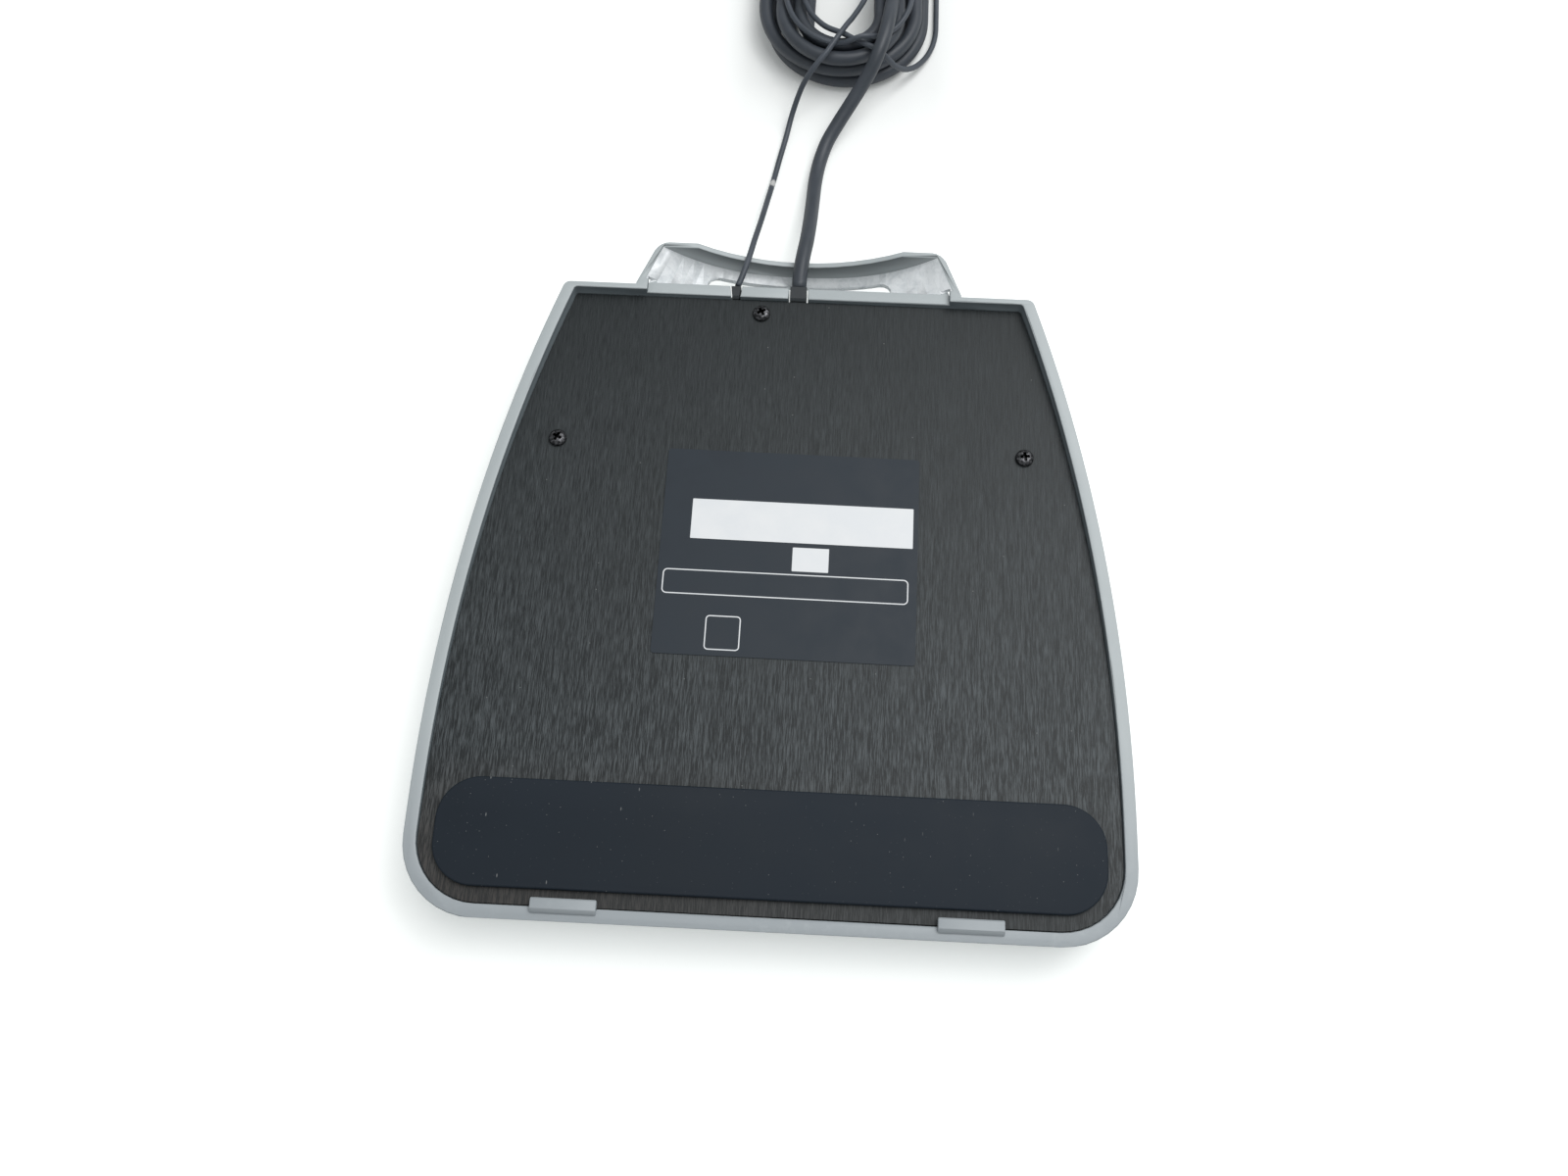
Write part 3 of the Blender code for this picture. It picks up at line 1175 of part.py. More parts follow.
# USB plug, lying flat beside the coil and pointing along -X
def make_plug():
    y = from_front(PLUG_FROM_FRONT)

    def ring(x, width, height, radius):
        outline = rounded_rectangle(width, height, radius, y, PLUG_CENTRE)
        return [(x, u, v) for u, v in outline]

    neck_corner = PLUG_NECK / 2 * PLUG_NECK_CORNER_SHARE
    corner = PLUG_BODY_HEIGHT / 4
    shoulder = PLUG_X - PLUG_NECK_LENGTH
    rings = [
        ring(PLUG_X, PLUG_NECK, PLUG_NECK, neck_corner),
        ring(shoulder, PLUG_NECK, PLUG_NECK, neck_corner),
        ring(shoulder - corner, PLUG_BODY_WIDTH - corner, PLUG_BODY_HEIGHT - corner, corner),
        ring(shoulder - 2 * corner, PLUG_BODY_WIDTH, PLUG_BODY_HEIGHT, corner),
        ring(PLUG_X - PLUG_BODY_LENGTH, PLUG_BODY_WIDTH, PLUG_BODY_HEIGHT, corner),
    ]
    loft("usb_plug_body", rings, "black_plastic")

    root = PLUG_X - PLUG_BODY_LENGTH - FIT_GAP
    tip = root - PLUG_SHELL_LENGTH
    wall = 2 * PLUG_SHELL_WALL
    outer = rounded_rectangle(PLUG_SHELL_WIDTH, PLUG_SHELL_HEIGHT, 2 * PLUG_SHELL_WALL, y, PLUG_CENTRE)
    inner = rounded_rectangle(
        PLUG_SHELL_WIDTH - wall, PLUG_SHELL_HEIGHT - wall, PLUG_SHELL_WALL, y, PLUG_CENTRE
    )
    prism("usb_plug_shell", [outer, inner], tip, root, "bright_steel", ALONG_X)

    room = wall + 2 * FIT_GAP
    width, height = PLUG_SHELL_WIDTH - room, PLUG_SHELL_HEIGHT - room
    base = box(
        "usb_plug_tongue",
        (root - PLUG_ROOT_DEPTH, y - width / 2, PLUG_CENTRE - height / 2),
        (root, y + width / 2, PLUG_CENTRE + height / 2),
        "white_plastic",
    )
    blade = box(
        "tongue_blade",
        (tip + PLUG_TONGUE_SETBACK, y - width / 2, PLUG_CENTRE + height / 2 - PLUG_TONGUE_THICKNESS),
        (root - PLUG_ROOT_DEPTH / 2, y + width / 2, PLUG_CENTRE + height / 2 - PLUG_SHELL_WALL / 4),
    )
    add(base, blade)


# Stylus, which lies across behind the coil with its tethered end to the right
def stylus_centre():
    return Vector((STYLUS_END_X, from_front(STYLUS_FROM_FRONT), STYLUS_DIAMETER / 2))


def make_stylus():
    lift = bpy.data.objects.new("stylus_lift_axis", None)
    lift.location = stylus_centre()
    bpy.data.collections[PARTS].objects.link(lift)
    radius, waist, edge = STYLUS_DIAMETER / 2, STYLUS_WAIST / 2, STYLUS_EDGE

    # each profile runs from the tethered end towards the tip, by radius and distance
    neck_end, shoulder, full = (-STYLUS_CAP_LENGTH * share for share in STYLUS_CAP_SHARES)
    cap = [
        (0, 0),
        (STYLUS_CAP_NECK / 2, 0),
        (STYLUS_CAP_NECK / 2, neck_end),
        (radius - edge, shoulder),
        (radius, full),
        (radius, -STYLUS_CAP_LENGTH),
        (0, -STYLUS_CAP_LENGTH),
    ]
    start = -STYLUS_CAP_LENGTH - FIT_GAP
    end = start - STYLUS_BARREL_LENGTH
    tapers = [start - STYLUS_BARREL_LENGTH * share for share in STYLUS_BARREL_SHARES]
    barrel = [
        (0, start),
        (radius - edge, start),
        (radius, start - edge),
        (radius, tapers[0]),
        (waist + (radius - waist) / 2, tapers[1]),
        (waist, tapers[2]),
        (waist, end),
        (0, end),
    ]
    tip_start = end - FIT_GAP
    nib = STYLUS_NIB / 2
    tip_end = tip_start - STYLUS_TIP_LENGTH
    tip = [
        (0, tip_start),
        (waist, tip_start),
        *((waist * girth, tip_start - STYLUS_TIP_LENGTH * down) for down, girth in STYLUS_TIP_SHARES),
        (nib * STYLUS_NIB_ROOT_SHARE, tip_end + STYLUS_NIB_LENGTH),
        (nib, tip_end + STYLUS_NIB_LENGTH - nib),
        (nib, tip_end + nib),
        (nib / 2, tip_end + nib / 4),
        (0, tip_end),
    ]
    for name, profile in (("stylus_cap", cap), ("stylus_barrel", barrel), ("stylus_tip", tip)):
        piece = turned(name, profile, "black_plastic", STYLUS_STEPS)
        piece.parent = lift
        piece.rotation_euler.y = math.pi / 2


def smooth_round_parts():
    for thing in bpy.data.collections[PARTS].objects:
        if thing.type == "MESH":
            thing.data.shade_smooth()
            thing.data.set_sharp_from_angle(angle=math.radians(30))


start_scene()
make_housing()
make_plate()
make_foot()
make_label()
make_screws()
make_sensor()
make_board()
make_sensor_tail()
make_cord_exits()
make_cords()
make_tie()
make_plug()
make_stylus()
smooth_round_parts()
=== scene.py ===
# Signature pad lying face down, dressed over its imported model
# Metres: X runs right across the pad, Y towards the loop and the cords, Z up from the table
from math import cos, floor, hypot, pi, radians, sin, sqrt

import bmesh
import bpy
from mathutils import Matrix, Vector


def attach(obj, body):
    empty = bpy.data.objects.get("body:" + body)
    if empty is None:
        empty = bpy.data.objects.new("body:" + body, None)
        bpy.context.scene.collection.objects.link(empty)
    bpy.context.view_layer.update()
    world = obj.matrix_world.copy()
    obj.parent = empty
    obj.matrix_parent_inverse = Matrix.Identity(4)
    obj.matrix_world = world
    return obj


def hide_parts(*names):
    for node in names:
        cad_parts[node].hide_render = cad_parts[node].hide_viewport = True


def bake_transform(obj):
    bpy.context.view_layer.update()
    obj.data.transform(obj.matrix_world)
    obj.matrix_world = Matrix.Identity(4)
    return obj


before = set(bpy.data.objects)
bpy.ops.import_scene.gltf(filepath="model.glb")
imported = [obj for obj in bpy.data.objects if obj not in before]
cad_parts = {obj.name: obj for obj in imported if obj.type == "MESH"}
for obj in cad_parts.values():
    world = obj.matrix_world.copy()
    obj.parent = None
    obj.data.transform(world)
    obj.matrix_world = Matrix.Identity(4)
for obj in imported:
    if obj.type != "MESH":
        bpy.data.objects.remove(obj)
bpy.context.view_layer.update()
scene = bpy.context.scene
print("packed model loaded:", len(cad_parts), "nodes")


# camera: a phone held over the pad's front edge
camera = {
    "place": (0.00592, -0.11759, 0.31963), "right": (0.99879, 0.04908, -0.00077),
    "up": (-0.04585, 0.93847, 0.34230), "forward": (-0.01752, 0.34185, -0.93959), "lens": 30.375,
    "sensor": 36.0, "nearest": 0.01, "farthest": 20.0,
}


def makeCamera():
    data = bpy.data.cameras.new("camera")
    data.lens = camera["lens"]
    data.sensor_fit = "HORIZONTAL"
    data.sensor_width = camera["sensor"]
    data.clip_start = camera["nearest"]
    data.clip_end = camera["farthest"]
    thing = bpy.data.objects.new("camera", data)
    scene.collection.objects.link(thing)
    back = -Vector(camera["forward"])
    turn = Matrix((Vector(camera["right"]), Vector(camera["up"]), back)).transposed()
    thing.matrix_world = Matrix.Translation(camera["place"]) @ turn.to_4x4()
    scene.camera = thing


makeCamera()
print("camera placed")


# node helpers: a link where a socket is given, and a value otherwise
def feed(socket, value):
    if isinstance(value, bpy.types.NodeSocket):
        socket.id_data.links.new(value, socket)
    else:
        socket.default_value = (*value, 1) if socket.type == "RGBA" else value


def addNode(tree, kind, inputs=None, **settings):
    node = tree.nodes.new(kind)
    for key, value in settings.items():
        setattr(node, key, value)
    for key, value in (inputs or {}).items():
        feed(node.inputs[key], value)
    return node


# a new material and the object's own coordinates in it
def newMaterial(name, **sockets):
    material = bpy.data.materials.new(name)
    material.use_nodes = True
    tree = material.node_tree
    for key, value in sockets.items():
        feed(tree.nodes["Principled BSDF"].inputs[key.replace("_", " ")], value)
    return material, objectPlace(tree)


def objectPlace(tree, scale=(1, 1, 1), source="Object"):
    coordinates = addNode(tree, "ShaderNodeTexCoord")
    mapping = addNode(tree, "ShaderNodeMapping", {"Vector": coordinates.outputs[source], "Scale": scale})
    return mapping.outputs["Vector"]


def noise(place, scale, detail=3.0, rough=0.55, distortion=0.0):
    values = {"Vector": place, "Scale": scale, "Detail": detail, "Roughness": rough, "Distortion": distortion}
    return addNode(place.id_data, "ShaderNodeTexNoise", values).outputs["Fac"]


def spread(value, low, high, toLow=0.0, toHigh=1.0):
    inputs = {"Value": value, "From Min": low, "From Max": high, "To Min": toLow, "To Max": toHigh}
    return addNode(value.id_data, "ShaderNodeMapRange", inputs).outputs["Result"]


def sums(operation, first, second=0.0):
    return addNode(first.id_data, "ShaderNodeMath", {0: first, 1: second}, operation=operation).outputs[0]


def times(first, second):
    return sums("MULTIPLY", first, second)


def plus(first, second):
    return sums("ADD", first, second)


def mixed(share, first, second):
    node = addNode(share.id_data, "ShaderNodeMix", data_type="RGBA")
    sockets = [socket for socket in node.inputs if socket.enabled]
    for socket, value in zip(sockets, (share, first, second)):
        feed(socket, value)
    return [socket for socket in node.outputs if socket.enabled][0]


def axesOf(place):
    return addNode(place.id_data, "ShaderNodeSeparateXYZ", {"Vector": place}).outputs


# the end of every finish: a colour, a pattern with the two roughnesses it runs between, and a surface grain
def finished(material, colour, pattern, rough, height, depth, strength, span=(0.3, 0.7)):
    tree = material.node_tree
    inputs = tree.nodes["Principled BSDF"].inputs
    bump = addNode(tree, "ShaderNodeBump", {"Height": height, "Distance": depth, "Strength": strength})
    feed(inputs["Normal"], bump.outputs["Normal"])
    feed(inputs["Base Color"], colour)
    feed(inputs["Roughness"], spread(pattern, *span, *rough))
    return material


# flat specks seen from above: cells per metre, the radius as a share of a cell, and the share of cells used
def specks(place, scale, size, share):
    inputs = {"Vector": place, "Scale": scale, "Randomness": 1.0}
    cells = addNode(place.id_data, "ShaderNodeTexVoronoi", inputs, voronoi_dimensions="2D")
    near = spread(cells.outputs["Distance"], size, size * 0.5)
    pick = addNode(place.id_data, "ShaderNodeSeparateColor", {"Color": cells.outputs["Color"]})
    chosen = sums("LESS_THAN", pick.outputs["Red"], share)
    return times(near, chosen)


# housing: grey moulded plastic with a silver tone, a fine spark texture and painted shade darkening it
# towards the front edge
housingLook = {
    "colour": (0.455, 0.495, 0.505), "palm": (0.362, 0.396, 0.418), "worn": (0.52, 0.56, 0.57),
    "wornShare": 0.3, "shadedInnerWall": (0.125, 0.148, 0.160), "shadedInnerWallPale": (0.14375, 0.1702, 0.184),
    "palmFrom": -0.040, "palmTo": -0.084, "rough": (0.34, 0.48), "spark": 1900.0, "sparkDepth": 0.00002,
    "clouds": 38.0, "rub": 420.0,
}


def greyPlastic():
    material, place = newMaterial("grey moulded plastic")
    clouds = noise(place, housingLook["clouds"], 4.0)
    rub = noise(place, housingLook["rub"], 2.0)
    tone = times(spread(clouds, 0.45, 0.75), spread(rub, 0.5, 0.7))
    tone = times(tone, housingLook["wornShare"])
    # painted shade: the colour darkens towards the front edge
    palm = spread(axesOf(place)["Y"], housingLook["palmFrom"], housingLook["palmTo"])
    colour = mixed(palm, housingLook["colour"], housingLook["palm"])
    colour = mixed(tone, colour, housingLook["worn"])
    spark = noise(place, housingLook["spark"], 2.0)
    return finished(material, colour, clouds, housingLook["rough"], spark, housingLook["sparkDepth"], 0.35)


# inside of the loop: the same plastic left glossy, pale and mottled
loopLook = {
    "pale": (0.94, 0.965, 0.98), "dull": (0.72, 0.755, 0.775), "blots": 170.0, "veins": 620.0,
    "wallShadeAtLip": (0.150, 0.166, 0.172), "wallLitAtFoot": (0.365, 0.392, 0.402), "lip": 0.0113,
    "foot": 0.0066, "archRise": 9.4, "rough": (0.42, 0.2), "wallRough": (0.4, 0.52),
    "moulding": 0.00010,
}


def loopSkin():
    material, place = newMaterial("bare loop plastic")
    blots = noise(place, loopLook["blots"], 5.0, 0.62, 1.6)
    veins = noise(place, loopLook["veins"], 3.0, 0.6, 0.8)
    tone = plus(times(blots, 0.65), times(veins, 0.35))
    colour = mixed(spread(tone, 0.36, 0.56), loopLook["dull"], loopLook["pale"])
    return finished(material, colour, blots, loopLook["rough"], tone, loopLook["moulding"], 0.5)


# painted shade: the loop's end wall darkens towards its arched lip
def loopWallSkin():
    material, place = newMaterial("loop end wall")
    axes = axesOf(place)
    arch = times(axes["X"], axes["X"])
    level = sums("SUBTRACT", axes["Z"], times(arch, loopLook["archRise"]))
    up = spread(level, loopLook["foot"], loopLook["lip"])
    colour = mixed(up, loopLook["wallLitAtFoot"], loopLook["wallShadeAtLip"])
    clouds, spark = noise(place, 120.0), noise(place, housingLook["spark"], 2.0)
    return finished(material, colour, clouds, loopLook["wallRough"], spark, housingLook["sparkDepth"], 0.3)


# base plate: black coated sheet, brushed along its length, paler towards the palm edge and the right partly
# from wear and partly from painted light, with painted shade on the strip between the foot and the rim
plateLook = {
    "dark": (0.0105, 0.0140, 0.0155), "light": (0.112, 0.127, 0.135), "brown": (0.062, 0.052, 0.046),
    "across": 5000.0, "along": 240.0, "wide": 1700.0, "wideAlong": 80.0, "leastWearAndLight": 0.20,
    "mostWearAndLight": 0.70, "softGrain": (0.38, 0.68), "sharpGrain": (0.470, 0.575),
    "grainSpan": (0.055, -0.050), "wearAndLightSpan": (0.072, -0.052), "strip": (-0.0815, -0.0785),
    "stripWear": 0.5, "brownAcross": (0.04, -0.075), "brownAlong": (-0.050, -0.074),
    "dust": (0.40, 0.41, 0.40), "dustShare": 0.35, "dustSpecks": (130.0, 0.022, 0.10),
    "rough": (0.44, 0.58), "roughSpan": (0.35, 0.65), "grainDepth": 0.00004,
}


def brushedPlate():
    material, place = newMaterial("brushed black sheet", Specular_IOR_Level=0.32)
    axes = axesOf(place)
    x, y = axes["X"], axes["Y"]
    tree = place.id_data
    streak = noise(objectPlace(tree, (plateLook["across"], plateLook["along"], 1.0)), 1.0, 3.0, 0.65)
    wide = noise(objectPlace(tree, (plateLook["wide"], plateLook["wideAlong"], 1.0)), 1.0, 2.0)
    patch = noise(place, 30.0, 3.0)
    grain = plus(times(streak, 0.72), times(wide, 0.28))
    ends = zip(plateLook["softGrain"], plateLook["sharpGrain"])
    least, most = [spread(y, *plateLook["grainSpan"], *pair) for pair in ends]
    grain = spread(grain, least, most)
    # wear and painted light: paler towards the palm edge
    worn = spread(y, *plateLook["wearAndLightSpan"], plateLook["leastWearAndLight"], plateLook["mostWearAndLight"])
    # painted light: paler towards the right
    worn = plus(worn, spread(x, -0.08, 0.08, 0.01, 0.05))
    worn = times(worn, spread(patch, 0.3, 0.7, 0.85, 1.15))
    # painted shade: darker on the strip between the foot and the rim
    worn = times(worn, spread(y, *plateLook["strip"], plateLook["stripWear"], 1.0))
    colour = mixed(times(grain, worn), plateLook["dark"], plateLook["light"])
    corner = spread(x, *plateLook["brownAcross"], 0.15, 0.8)
    corner = times(corner, spread(y, *plateLook["brownAlong"]))
    corner = times(corner, spread(grain, 0.0, 1.0, 0.25, 1.0))
    colour = mixed(corner, colour, plateLook["brown"])
    dust = specks(place, *plateLook["dustSpecks"])
    colour = mixed(times(dust, plateLook["dustShare"]), colour, plateLook["dust"])
    depth, span = plateLook["grainDepth"], plateLook["roughSpan"]
    return finished(material, colour, streak, plateLook["rough"], streak, depth, 0.6, span)


# a bump too shallow to see as a form, only as a duller shine
fineDepth = 0.00001

# rubber foot: matt blue-black sheet with dust and short scratches
footLook = {
    "width": 0.154, "fromFront": 0.007, "depth": 0.025, "corner": 0.010, "thickness": 0.0015,
    "edge": 0.00045, "edgeSteps": 5, "cornerSteps": 20, "colour": (0.0065, 0.0125, 0.0205),
    "pale": (0.0110, 0.0180, 0.0275), "dirt": (0.42, 0.43, 0.42), "dirtShare": 0.42,
    "dirtSpan": (0.03, -0.06), "rough": (0.55, 0.7), "dots": (330.0, 0.040, 0.12),
    "fine": (760.0, 0.070, 0.13), "flecks": (260.0, 0.040, 0.12), "stretch": (1.0, 0.30, 1.0),
}


def footRubber():
    material, place = newMaterial("black rubber", Specular_IOR_Level=0.3)
    clouds = noise(place, 30.0, 4.0)
    colour = mixed(spread(clouds, 0.35, 0.7), footLook["colour"], footLook["pale"])
    dots, fine = specks(place, *footLook["dots"]), specks(place, *footLook["fine"])
    flecks = specks(objectPlace(place.id_data, footLook["stretch"]), *footLook["flecks"])
    edge = spread(axesOf(place)["X"], *footLook["dirtSpan"], 0.25, 1.0)
    dirt = plus(times(dots, 0.75), times(fine, 0.3))
    dirt = sums("MINIMUM", plus(dirt, times(flecks, edge)), 1.0)
    colour = mixed(times(dirt, footLook["dirtShare"]), colour, footLook["dirt"])
    grain = noise(place, 2600.0, 2.0)
    return finished(material, colour, clouds, footLook["rough"], grain, fineDepth, 0.4)


# screws: blackened steel, bright on the dome, with painted shade blackening the cross recess
screwLook = {
    "dull": (0.030, 0.031, 0.033), "bright": (0.17, 0.17, 0.18), "recess": (0.008, 0.008, 0.009),
    "mottle": 1500.0, "rough": (0.24, 0.38), "grainDepth": 0.00002,
}


def blackSteel():
    material, place = newMaterial("blackened steel", Metallic=0.85)
    mottle = noise(place, screwLook["mottle"])
    colour = mixed(spread(mottle, 0.42, 0.68), screwLook["dull"], screwLook["bright"])
    # painted shade: the cross recess is coloured near black
    recess = addNode(place.id_data, "ShaderNodeAttribute", attribute_name="recess")
    colour = mixed(recess.outputs["Fac"], colour, screwLook["recess"])
    return finished(material, colour, mottle, screwLook["rough"], mottle, screwLook["grainDepth"], 0.3)


# cords: smooth black jacket with a soft shine, and one scuffed spot on the thin cord
cordLook = {
    "colour": (0.0370, 0.0450, 0.0560), "pale": (0.0540, 0.0630, 0.0780), "thinLift": 1.3,
    "scuff": (-0.0091, 0.1212, 0.0028), "scuffReach": 0.0016, "scuffColour": (0.55, 0.55, 0.54),
    "rough": (0.42, 0.54),
}


def cordJacket(name, scuffed):
    material, place = newMaterial(name, Coat_Weight=0.06, Coat_Roughness=0.4)
    clouds = noise(place, 90.0, 3.0)
    lift = cordLook["thinLift"] if scuffed else 1.0
    tones = [tuple(lift * c for c in cordLook[tone]) for tone in ("colour", "pale")]
    colour = mixed(spread(clouds, 0.35, 0.7), *tones)
    if scuffed:
        ends = {0: place, 1: cordLook["scuff"]}
        away = addNode(place.id_data, "ShaderNodeVectorMath", ends, operation="DISTANCE")
        near = spread(away.outputs["Value"], cordLook["scuffReach"], cordLook["scuffReach"] * 0.5)
        colour = mixed(near, colour, cordLook["scuffColour"])
    grain = noise(place, 1500.0, 2.0)
    return finished(material, colour, clouds, cordLook["rough"], grain, fineDepth, 0.5)


# plain finishes: a colour, a second one in soft clouds, and a fine grain
def plainFinish(name, colour, second, roughness, grain=1600.0, depth=fineDepth, **sockets):
    material, place = newMaterial(name, **sockets)
    clouds = noise(place, 120.0, 4.0)
    colour = mixed(spread(clouds, 0.35, 0.7), colour, second)
    rough = (roughness * 0.85, min(roughness * 1.2, 1))
    return finished(material, colour, clouds, rough, noise(place, grain, 2.0), depth, 0.4)


# relief and wedge in the ledge's notches, with painted light making their ends over the plate paler
notchLook = {
    "colour": (0.034, 0.038, 0.042), "pale": (0.044, 0.049, 0.054), "end": (0.150, 0.165, 0.175),
    "litFaceFrom": -0.9, "litFaceTo": -0.5, "rough": (0.55, 0.55),
}


def notchSkin():
    material, place = newMaterial("dull black plastic", Specular_IOR_Level=0.3)
    clouds = noise(place, 120.0, 4.0)
    body = mixed(clouds, notchLook["colour"], notchLook["pale"])
    way = axesOf(objectPlace(place.id_data, source="Normal"))
    # painted light: faces turned towards the front are paler
    end = spread(way["Y"], notchLook["litFaceFrom"], notchLook["litFaceTo"], 1.0, 0.0)
    colour = mixed(end, body, notchLook["end"])
    grain = noise(place, 1600.0, 2.0)
    return finished(material, colour, clouds, notchLook["rough"], grain, fineDepth, 0.4)


looks = {
    "housing": greyPlastic(),
    "loop": loopSkin(),
    "loopWall": loopWallSkin(),
    "plate": brushedPlate(),
    "rubber": footRubber(),
    "screw": blackSteel(),
    "usbJacket": cordJacket("cable jacket", False),
    "tetherJacket": cordJacket("thin cord jacket", True),
    "notch": notchSkin(),
    "label": plainFinish("dark label film", (0.020, 0.028, 0.038), (0.026, 0.035, 0.046), 0.5, 900.0,
                         Specular_IOR_Level=0.3),
    "steel": plainFinish("plated steel", (0.56, 0.57, 0.58), (0.66, 0.66, 0.66), 0.24, 700.0, Metallic=1.0),
}
plainLooks = {
    "shadedInnerWall": ("inner wall in painted shade", housingLook["shadedInnerWall"], housingLook["shadedInnerWallPale"], 0.5),
    "print": ("white label print", (0.80, 0.82, 0.84), (0.86, 0.87, 0.88), 0.5),
    "plastic": ("black plastic", (0.016, 0.017, 0.019), (0.026, 0.027, 0.030), 0.42),
    "strap": ("woven tie", (0.020, 0.021, 0.023), (0.036, 0.037, 0.040), 0.85, 1100.0, 0.0001),
    "white": ("white plastic", (0.72, 0.71, 0.67), (0.78, 0.77, 0.73), 0.42),
    "film": ("signing film", (0.080, 0.088, 0.096), (0.10, 0.11, 0.12), 0.22, 2200.0),
    "foam": ("foam gasket", (0.09, 0.09, 0.09), (0.14, 0.14, 0.14), 0.9, 2600.0, 0.0001),
    "glass": ("coated glass", (0.42, 0.47, 0.45), (0.48, 0.53, 0.51), 0.08),
    "flex": ("amber flex film", (0.50, 0.27, 0.07), (0.58, 0.32, 0.09), 0.35),
    "board": ("green board", (0.018, 0.14, 0.06), (0.025, 0.18, 0.08), 0.35, 500.0),
}
looks.update({look: plainFinish(*settings) for look, settings in plainLooks.items()})
print("materials made:", len(looks))

# every node that stays in view keeps its own mesh and takes one of these finishes
nodeLooks = {
    "plate": ["base_plate"],
    "screw": ["clamp_screw_left", "clamp_screw_right"]
    + [f"{kind}_screw_{i}" for kind in ("backer", "board") for i in range(1, 5)],
    "plastic": ["controller_chip", "stylus_cap", "stylus_barrel", "stylus_tip"],
    "notch": ["tether_anchor", "usb_strain_relief"],
    "steel": ["sensor_backer", "clock_crystal", "cable_clamp"],
    "white": ["cable_header", "tail_connector", "usb_plug_tongue"],
    "film": ["signing_overlay"],
    "foam": ["window_gasket"],
    "glass": ["touch_sensor"],
    "flex": ["sensor_tail"],
    "board": ["controller_board"],
    "usbJacket": ["usb_inner_lead"],
}
for look, nodes in nodeLooks.items():
    for node in nodes:
        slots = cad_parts[node].data.materials
        slots.clear()
        slots.append(looks[look])


# shared makers
def smoothed(piece, sharpFrom):
    piece.data.shade_smooth()
    piece.data.set_sharp_from_angle(angle=radians(sharpFrom))


def newPiece(name, bm, materials, sharpFrom=None, turnOut=True):
    data = bpy.data.meshes.new(name)
    if turnOut:
        bmesh.ops.recalc_face_normals(bm, faces=bm.faces)
    bm.to_mesh(data)
    bm.free()
    for material in materials:
        data.materials.append(material)
    piece = bpy.data.objects.new(name, data)
    scene.collection.objects.link(piece)
    if sharpFrom is not None:
        smoothed(piece, sharpFrom)
    return piece


# the piece's modifiers become part of its mesh
def applied(piece):
    graph = bpy.context.evaluated_depsgraph_get()
    data = bpy.data.meshes.new_from_object(piece.evaluated_get(graph))
    piece.modifiers.clear()
    old = piece.data
    piece.data = data
    bpy.data.meshes.remove(old)
    return piece


def cutInto(piece, hollow, crossed=False):
    cutting = piece.modifiers.new("hollow", "BOOLEAN")
    cutting.operation = "DIFFERENCE"
    cutting.solver = "EXACT"
    cutting.use_self = crossed
    cutting.object = hollow
    applied(piece)
    bpy.data.objects.remove(hollow)


def cornersOf(halfWidth, halfDepth, x=0.0, y=0.0):
    return [(x + sx * halfWidth, y + sy * halfDepth) for sx, sy in ((-1, -1), (1, -1), (1, 1), (-1, 1))]


def roundedOutline(width, depth, radius, x=0.0, y=0.0, steps=12):
    points = []
    for quarter in range(4):
        sx = 1 if quarter in (0, 3) else -1
        sy = 1 if quarter < 2 else -1
        for i in range(steps + 1):
            angle = pi / 2 * (quarter + i / steps)
            cx = x + sx * (width / 2 - radius)
            cy = y + sy * (depth / 2 - radius)
            points.append((cx + radius * cos(angle), cy + radius * sin(angle)))
    return points


def skinned(bm, rings, materialIndex=0):
    count = len(rings[0])
    for first, second in zip(rings, rings[1:]):
        for i in range(count):
            k = (i + 1) % count
            bm.faces.new((first[i], first[k], second[k], second[i])).material_index = materialIndex


def capped(bm, rings, materialIndex=0):
    for ring in (rings[0][::-1], rings[-1]):
        bm.faces.new(ring).material_index = materialIndex


def ringsOf(bm, outline, *heights):
    return [[bm.verts.new((x, y, z)) for x, y in outline] for z in heights]


def slab(bm, outline, low, high, materialIndex=0):
    rings = ringsOf(bm, outline, low, high)
    capped(bm, rings, materialIndex)
    skinned(bm, rings, materialIndex)


def ringSlab(bm, outer, inner, low, high, materialIndex=0):
    outside, inside = [ringsOf(bm, line, low, high) for line in (outer, inner)]
    skinned(bm, [*outside, *inside[::-1], outside[0]], materialIndex)


# heights and places that several pieces share
frontEdge = -0.089
plateTop = 0.015


def fromFront(distance):
    return frontEdge + distance


# cords
cordSizes = {
    "usb": 0.004, "usbSides": 20, "usbStep": 0.0018,
    "tether": 0.0016, "tetherSides": 12, "tetherStep": 0.0012, "gap": 0.0003,
}
coil = {
    "x": 0.0091, "fromFront": 0.2947, "straight": 0.050, "straightShare": 1 / 24, "outer": 0.0250,
    "pitch": 0.0053, "layerStep": 0.00445, "layerTurns": 2.75, "crossTurns": 0.5, "startTurns": 0.25,
    "leadTurns": 0.20, "dropTurns": 0.15, "leadRadius": 0.0144, "dip": 0.0005, "stepsPerTurn": 96,
    "columnStep": 0.00486,
    "stack": [(0, 0, 0), (1, 0, 1), (2, 1, 1), (2, 1, 1), (1, 1, 0), (0, 0, 0)],
    "nearTurns": 0.75, "stackTurns": 0.20, "climbTurns": 0.05, "layerOne": 0.0029, "layerTwo": 0.00735,
    "leadOnPile": 0.01355, "inner": 0.010425,
}


def inMetres(rows, plain=0):
    return [(*row[:plain], *(value / 1000 for value in row[plain:])) for row in rows]


